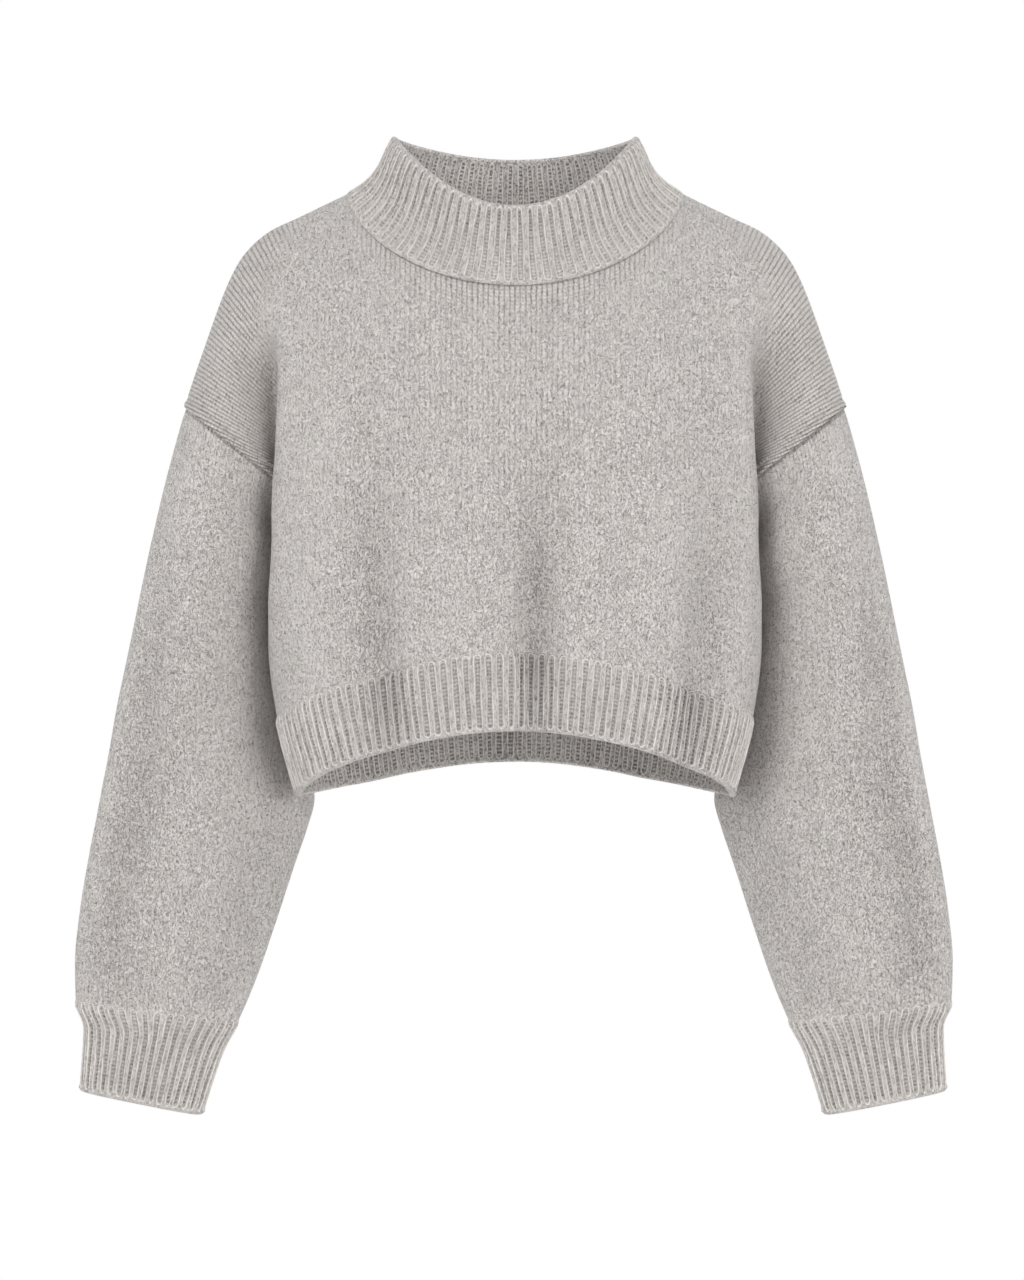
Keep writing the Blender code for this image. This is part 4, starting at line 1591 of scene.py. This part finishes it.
@dataclass
class Sleeve:
    """A plain-knit sleeve from the armhole to its cuff."""

    name: str
    side: int
    form: Form
    finish: bpy.types.Material
    flat: tuple = (0.42, 0.47)
    cut_area: float = 0.164
    columns: int = 150
    rows: int = 112
    wales: int = 96
    course: float = 0.0031
    lip_depth: float = 0.007
    lip_rows: int = 4
    sink_depth: float = 0.0006
    sink_length: float = 0.010
    base_clear: float = 0.12
    end_clear: float = 0.2
    mouth_ends: tuple = (0.01, 0.05)
    cuff_ends: tuple = (0.40, 0.47)

    def build(self) -> bpy.types.Object:
        """Makes the sleeve, whose upper edge runs in under the body's welt.

        Returns:
            The piece.
        """
        around = np.linspace(*ROUND_SLEEVE, self.columns + 1)
        places = np.meshgrid(around, np.linspace(0.0, 1.0, self.rows + 1))
        plain = self.form.sleeve(*places, self.side)
        deeper = np.linspace(1.0, 0.0, self.lip_rows, endpoint=False)[:, None, None]
        lip = plain[:1] - self.form.armhole_axis(self.side) * self.lip_depth * deeper
        plain = np.concatenate((lip, plain))
        facing = facing_of(plain, True, -float(self.side))
        down = run_down(plain)
        columns = np.broadcast_to(np.linspace(0, self.wales, self.columns + 1), down.shape)
        by_ends = 1 - ease(down, *self.mouth_ends) + ease(down, *self.cuff_ends)
        sag = self.form.sleeve_depth(*places)
        below = down - down[self.lip_rows]
        sunk = (1 - ease(below, 0.0, self.sink_length)) * self.sink_depth
        outer, inner = faces_of(plain, facing, -sunk, np.full(down.shape, WALL / 2))
        piece = Cloth(
            name=f"{self.name}_knit",
            outer=outer,
            inner=inner,
            stitches=np.stack((columns, down / self.course), axis=-1),
            clear=self.base_clear + self.end_clear * by_ends,
            # The negative brink below the welt places the painted shadow line under it.
            brink=-below,
            depth=np.concatenate((np.zeros((self.lip_rows, sag.shape[1])), sag)),
            closed=True,
            finish=self.finish,
        ).build()
        dressed(piece, self.name)
        return piece


def no_depth(turn: np.ndarray, along: np.ndarray) -> np.ndarray:
    """The depth of a piece's folds where it has none."""
    return np.zeros(np.broadcast(turn, along).shape)


def collar_band(form: Form, finish: bpy.types.Material) -> Band:
    """The collar, from its seam with the body to its rim.

    Args:
        form: the sweater's shape.
        finish: its material.

    Returns:
        The band, ready to build.
    """
    return Band(
        name="collar_rib",
        node="collar",
        surface=form.collar,
        depth=no_depth,
        span=ROUND_BODY,
        rows_between=(-0.012, 1.0),
        ribs=72,
        outward=-1.0,
        finish=finish,
        flat=(0.62, 0.07),
        channel_share=(0.26, 0.40),
        columns_per_rib=16,
        seam_bound=0.0022,
        seam_rise=0.4,
        seam_radius=0.0012,
        seam_fade=0.42,
        fade_ends=(0.004, 0.050),
        pattern=RibPattern(relief=0.0022),
    )


def hem_band(form: Form, finish: bpy.types.Material) -> Band:
    """The hem's rib, below both panels.

    Args:
        form: the sweater's shape.
        finish: its material.

    Returns:
        The band, ready to build.
    """
    return Band(
        name="hem_ribbing",
        node="hem_rib",
        surface=form.body,
        depth=form.body_depth,
        span=ROUND_BODY,
        rows_between=(1.0, HEM_END),
        ribs=118,
        outward=1.0,
        finish=finish,
        flat=(0.85, 0.075),
    )


def cuff_band(form: Form, finish: bpy.types.Material, name: str, side: int) -> Band:
    """A cuff, on the side of +X for side 1 and of -X for side -1.

    Args:
        form: the sweater's shape.
        finish: its material.
        name: the side's name.
        side: 1 or -1.

    Returns:
        The band, ready to build.
    """
    return Band(
        name=f"cuff_{name}_rib",
        node=f"cuff_{name}",
        surface=partial(form.sleeve, side=side),
        depth=form.sleeve_depth,
        span=ROUND_SLEEVE,
        rows_between=(1.0, CUFF_END),
        ribs=37,
        outward=-float(side),
        finish=finish,
        flat=(0.27, 0.075),
        columns_per_rib=14,
    )


# ---------------------------------------------------------------- studio


@dataclass(frozen=True)
class Softbox:
    """A large soft lamp that looks at the sweater."""

    name: str
    place: tuple
    watts: float
    size: float = 1.8

    def build(self, aim: tuple) -> None:
        """Hangs the lamp and turns it to the aim.

        Args:
            aim: the point that it looks at.
        """
        lamp = bpy.data.lights.new(self.name, "AREA")
        lamp.shape = "DISK"
        lamp.size = self.size
        lamp.energy = self.watts
        holder = bpy.data.objects.new(self.name, lamp)
        holder.location = self.place
        holder.rotation_mode = "QUATERNION"
        holder.rotation_quaternion = (Vector(self.place) - Vector(aim)).to_track_quat("Z", "Y")
        bpy.context.scene.collection.objects.link(holder)


@dataclass
class Studio:
    """The pale floor, the soft light and the camera."""

    floor_height: float = -1.45
    floor_radius: float = 4.0
    floor_sides: int = 96
    floor_colour: tuple = (0.88, 0.88, 0.88, 1.0)
    floor_roughness: float = 0.9
    lamps: tuple = (
        Softbox("key", (-1.5, -3.2, 1.0), 50.0),
        Softbox("fill", (1.5, -3.2, 0.1), 44.0),
    )
    backdrop: tuple = (-0.8, 0.0)
    side_strength: float = 0.35
    camera_place: tuple = (-0.00225, -3.6, -0.32625)
    camera_tilt: float = 90.0
    lens: float = 135.0
    sensor_width: float = 36.0
    aim: tuple = (0.0, 0.0, -0.32)

    def build(self) -> None:
        """Makes floor, sky, lamps and camera."""
        self.build_floor()
        self.build_sky()
        for lamp in self.lamps:
            lamp.build(self.aim)
        camera = bpy.data.cameras.new("camera")
        camera.lens = self.lens
        camera.sensor_width = self.sensor_width
        holder = bpy.data.objects.new("camera", camera)
        holder.location = self.camera_place
        holder.rotation_euler = (math.radians(self.camera_tilt), 0.0, 0.0)
        bpy.context.scene.collection.objects.link(holder)
        bpy.context.scene.camera = holder
        bpy.context.scene.view_settings.view_transform = "Standard"

    def build_floor(self) -> None:
        """Makes a round pale floor well under the cuffs."""
        disc = bmesh.new()
        sides, radius = self.floor_sides, self.floor_radius
        bmesh.ops.create_circle(disc, cap_ends=True, segments=sides, radius=radius)
        for vert in disc.verts:
            vert.co.z = self.floor_height
        mesh = bpy.data.meshes.new("floor")
        disc.to_mesh(mesh)
        disc.free()
        graph = painted("floor_paint")
        graph.plug(graph.shader.inputs["Base Color"], self.floor_colour)
        graph.plug(graph.shader.inputs["Roughness"], self.floor_roughness)
        mesh.materials.append(graph.owner)
        floor = bpy.data.objects.new("floor", mesh)
        bpy.context.scene.collection.objects.link(floor)

    def build_sky(self) -> None:
        """Lights everything softly from all round, with a white backdrop behind the sweater."""
        graph = Graph(bpy.data.worlds.new("studio"), "Background")
        split = graph.node("ShaderNodeSeparateXYZ", {}, {0: graph.place()})
        behind = Field(graph, split.outputs[1]).step(*self.backdrop)
        graph.plug(graph.shader.inputs["Color"], (1.0, 1.0, 1.0, 1.0))
        strength = behind * (1 - self.side_strength) + self.side_strength
        graph.plug(graph.shader.inputs["Strength"], strength)
        bpy.context.scene.world = graph.owner


def main() -> None:
    """Builds the sweater piece by piece, then the studio."""
    logging.basicConfig(level=logging.INFO)
    form = Form()
    knit = PlainKnit().paint("knit_wool")
    rib = Ribbing().paint("rib_wool")
    for face in Face:
        Panel(face, form, knit).build()
    collar_band(form, rib).build()
    hem_band(form, rib).build()
    for name, side in SIDES.items():
        Sleeve(f"sleeve_{name}", side, form, knit).build()
        cuff_band(form, rib, name, side).build()
    Studio().build()


if __name__ == "__main__":
    main()
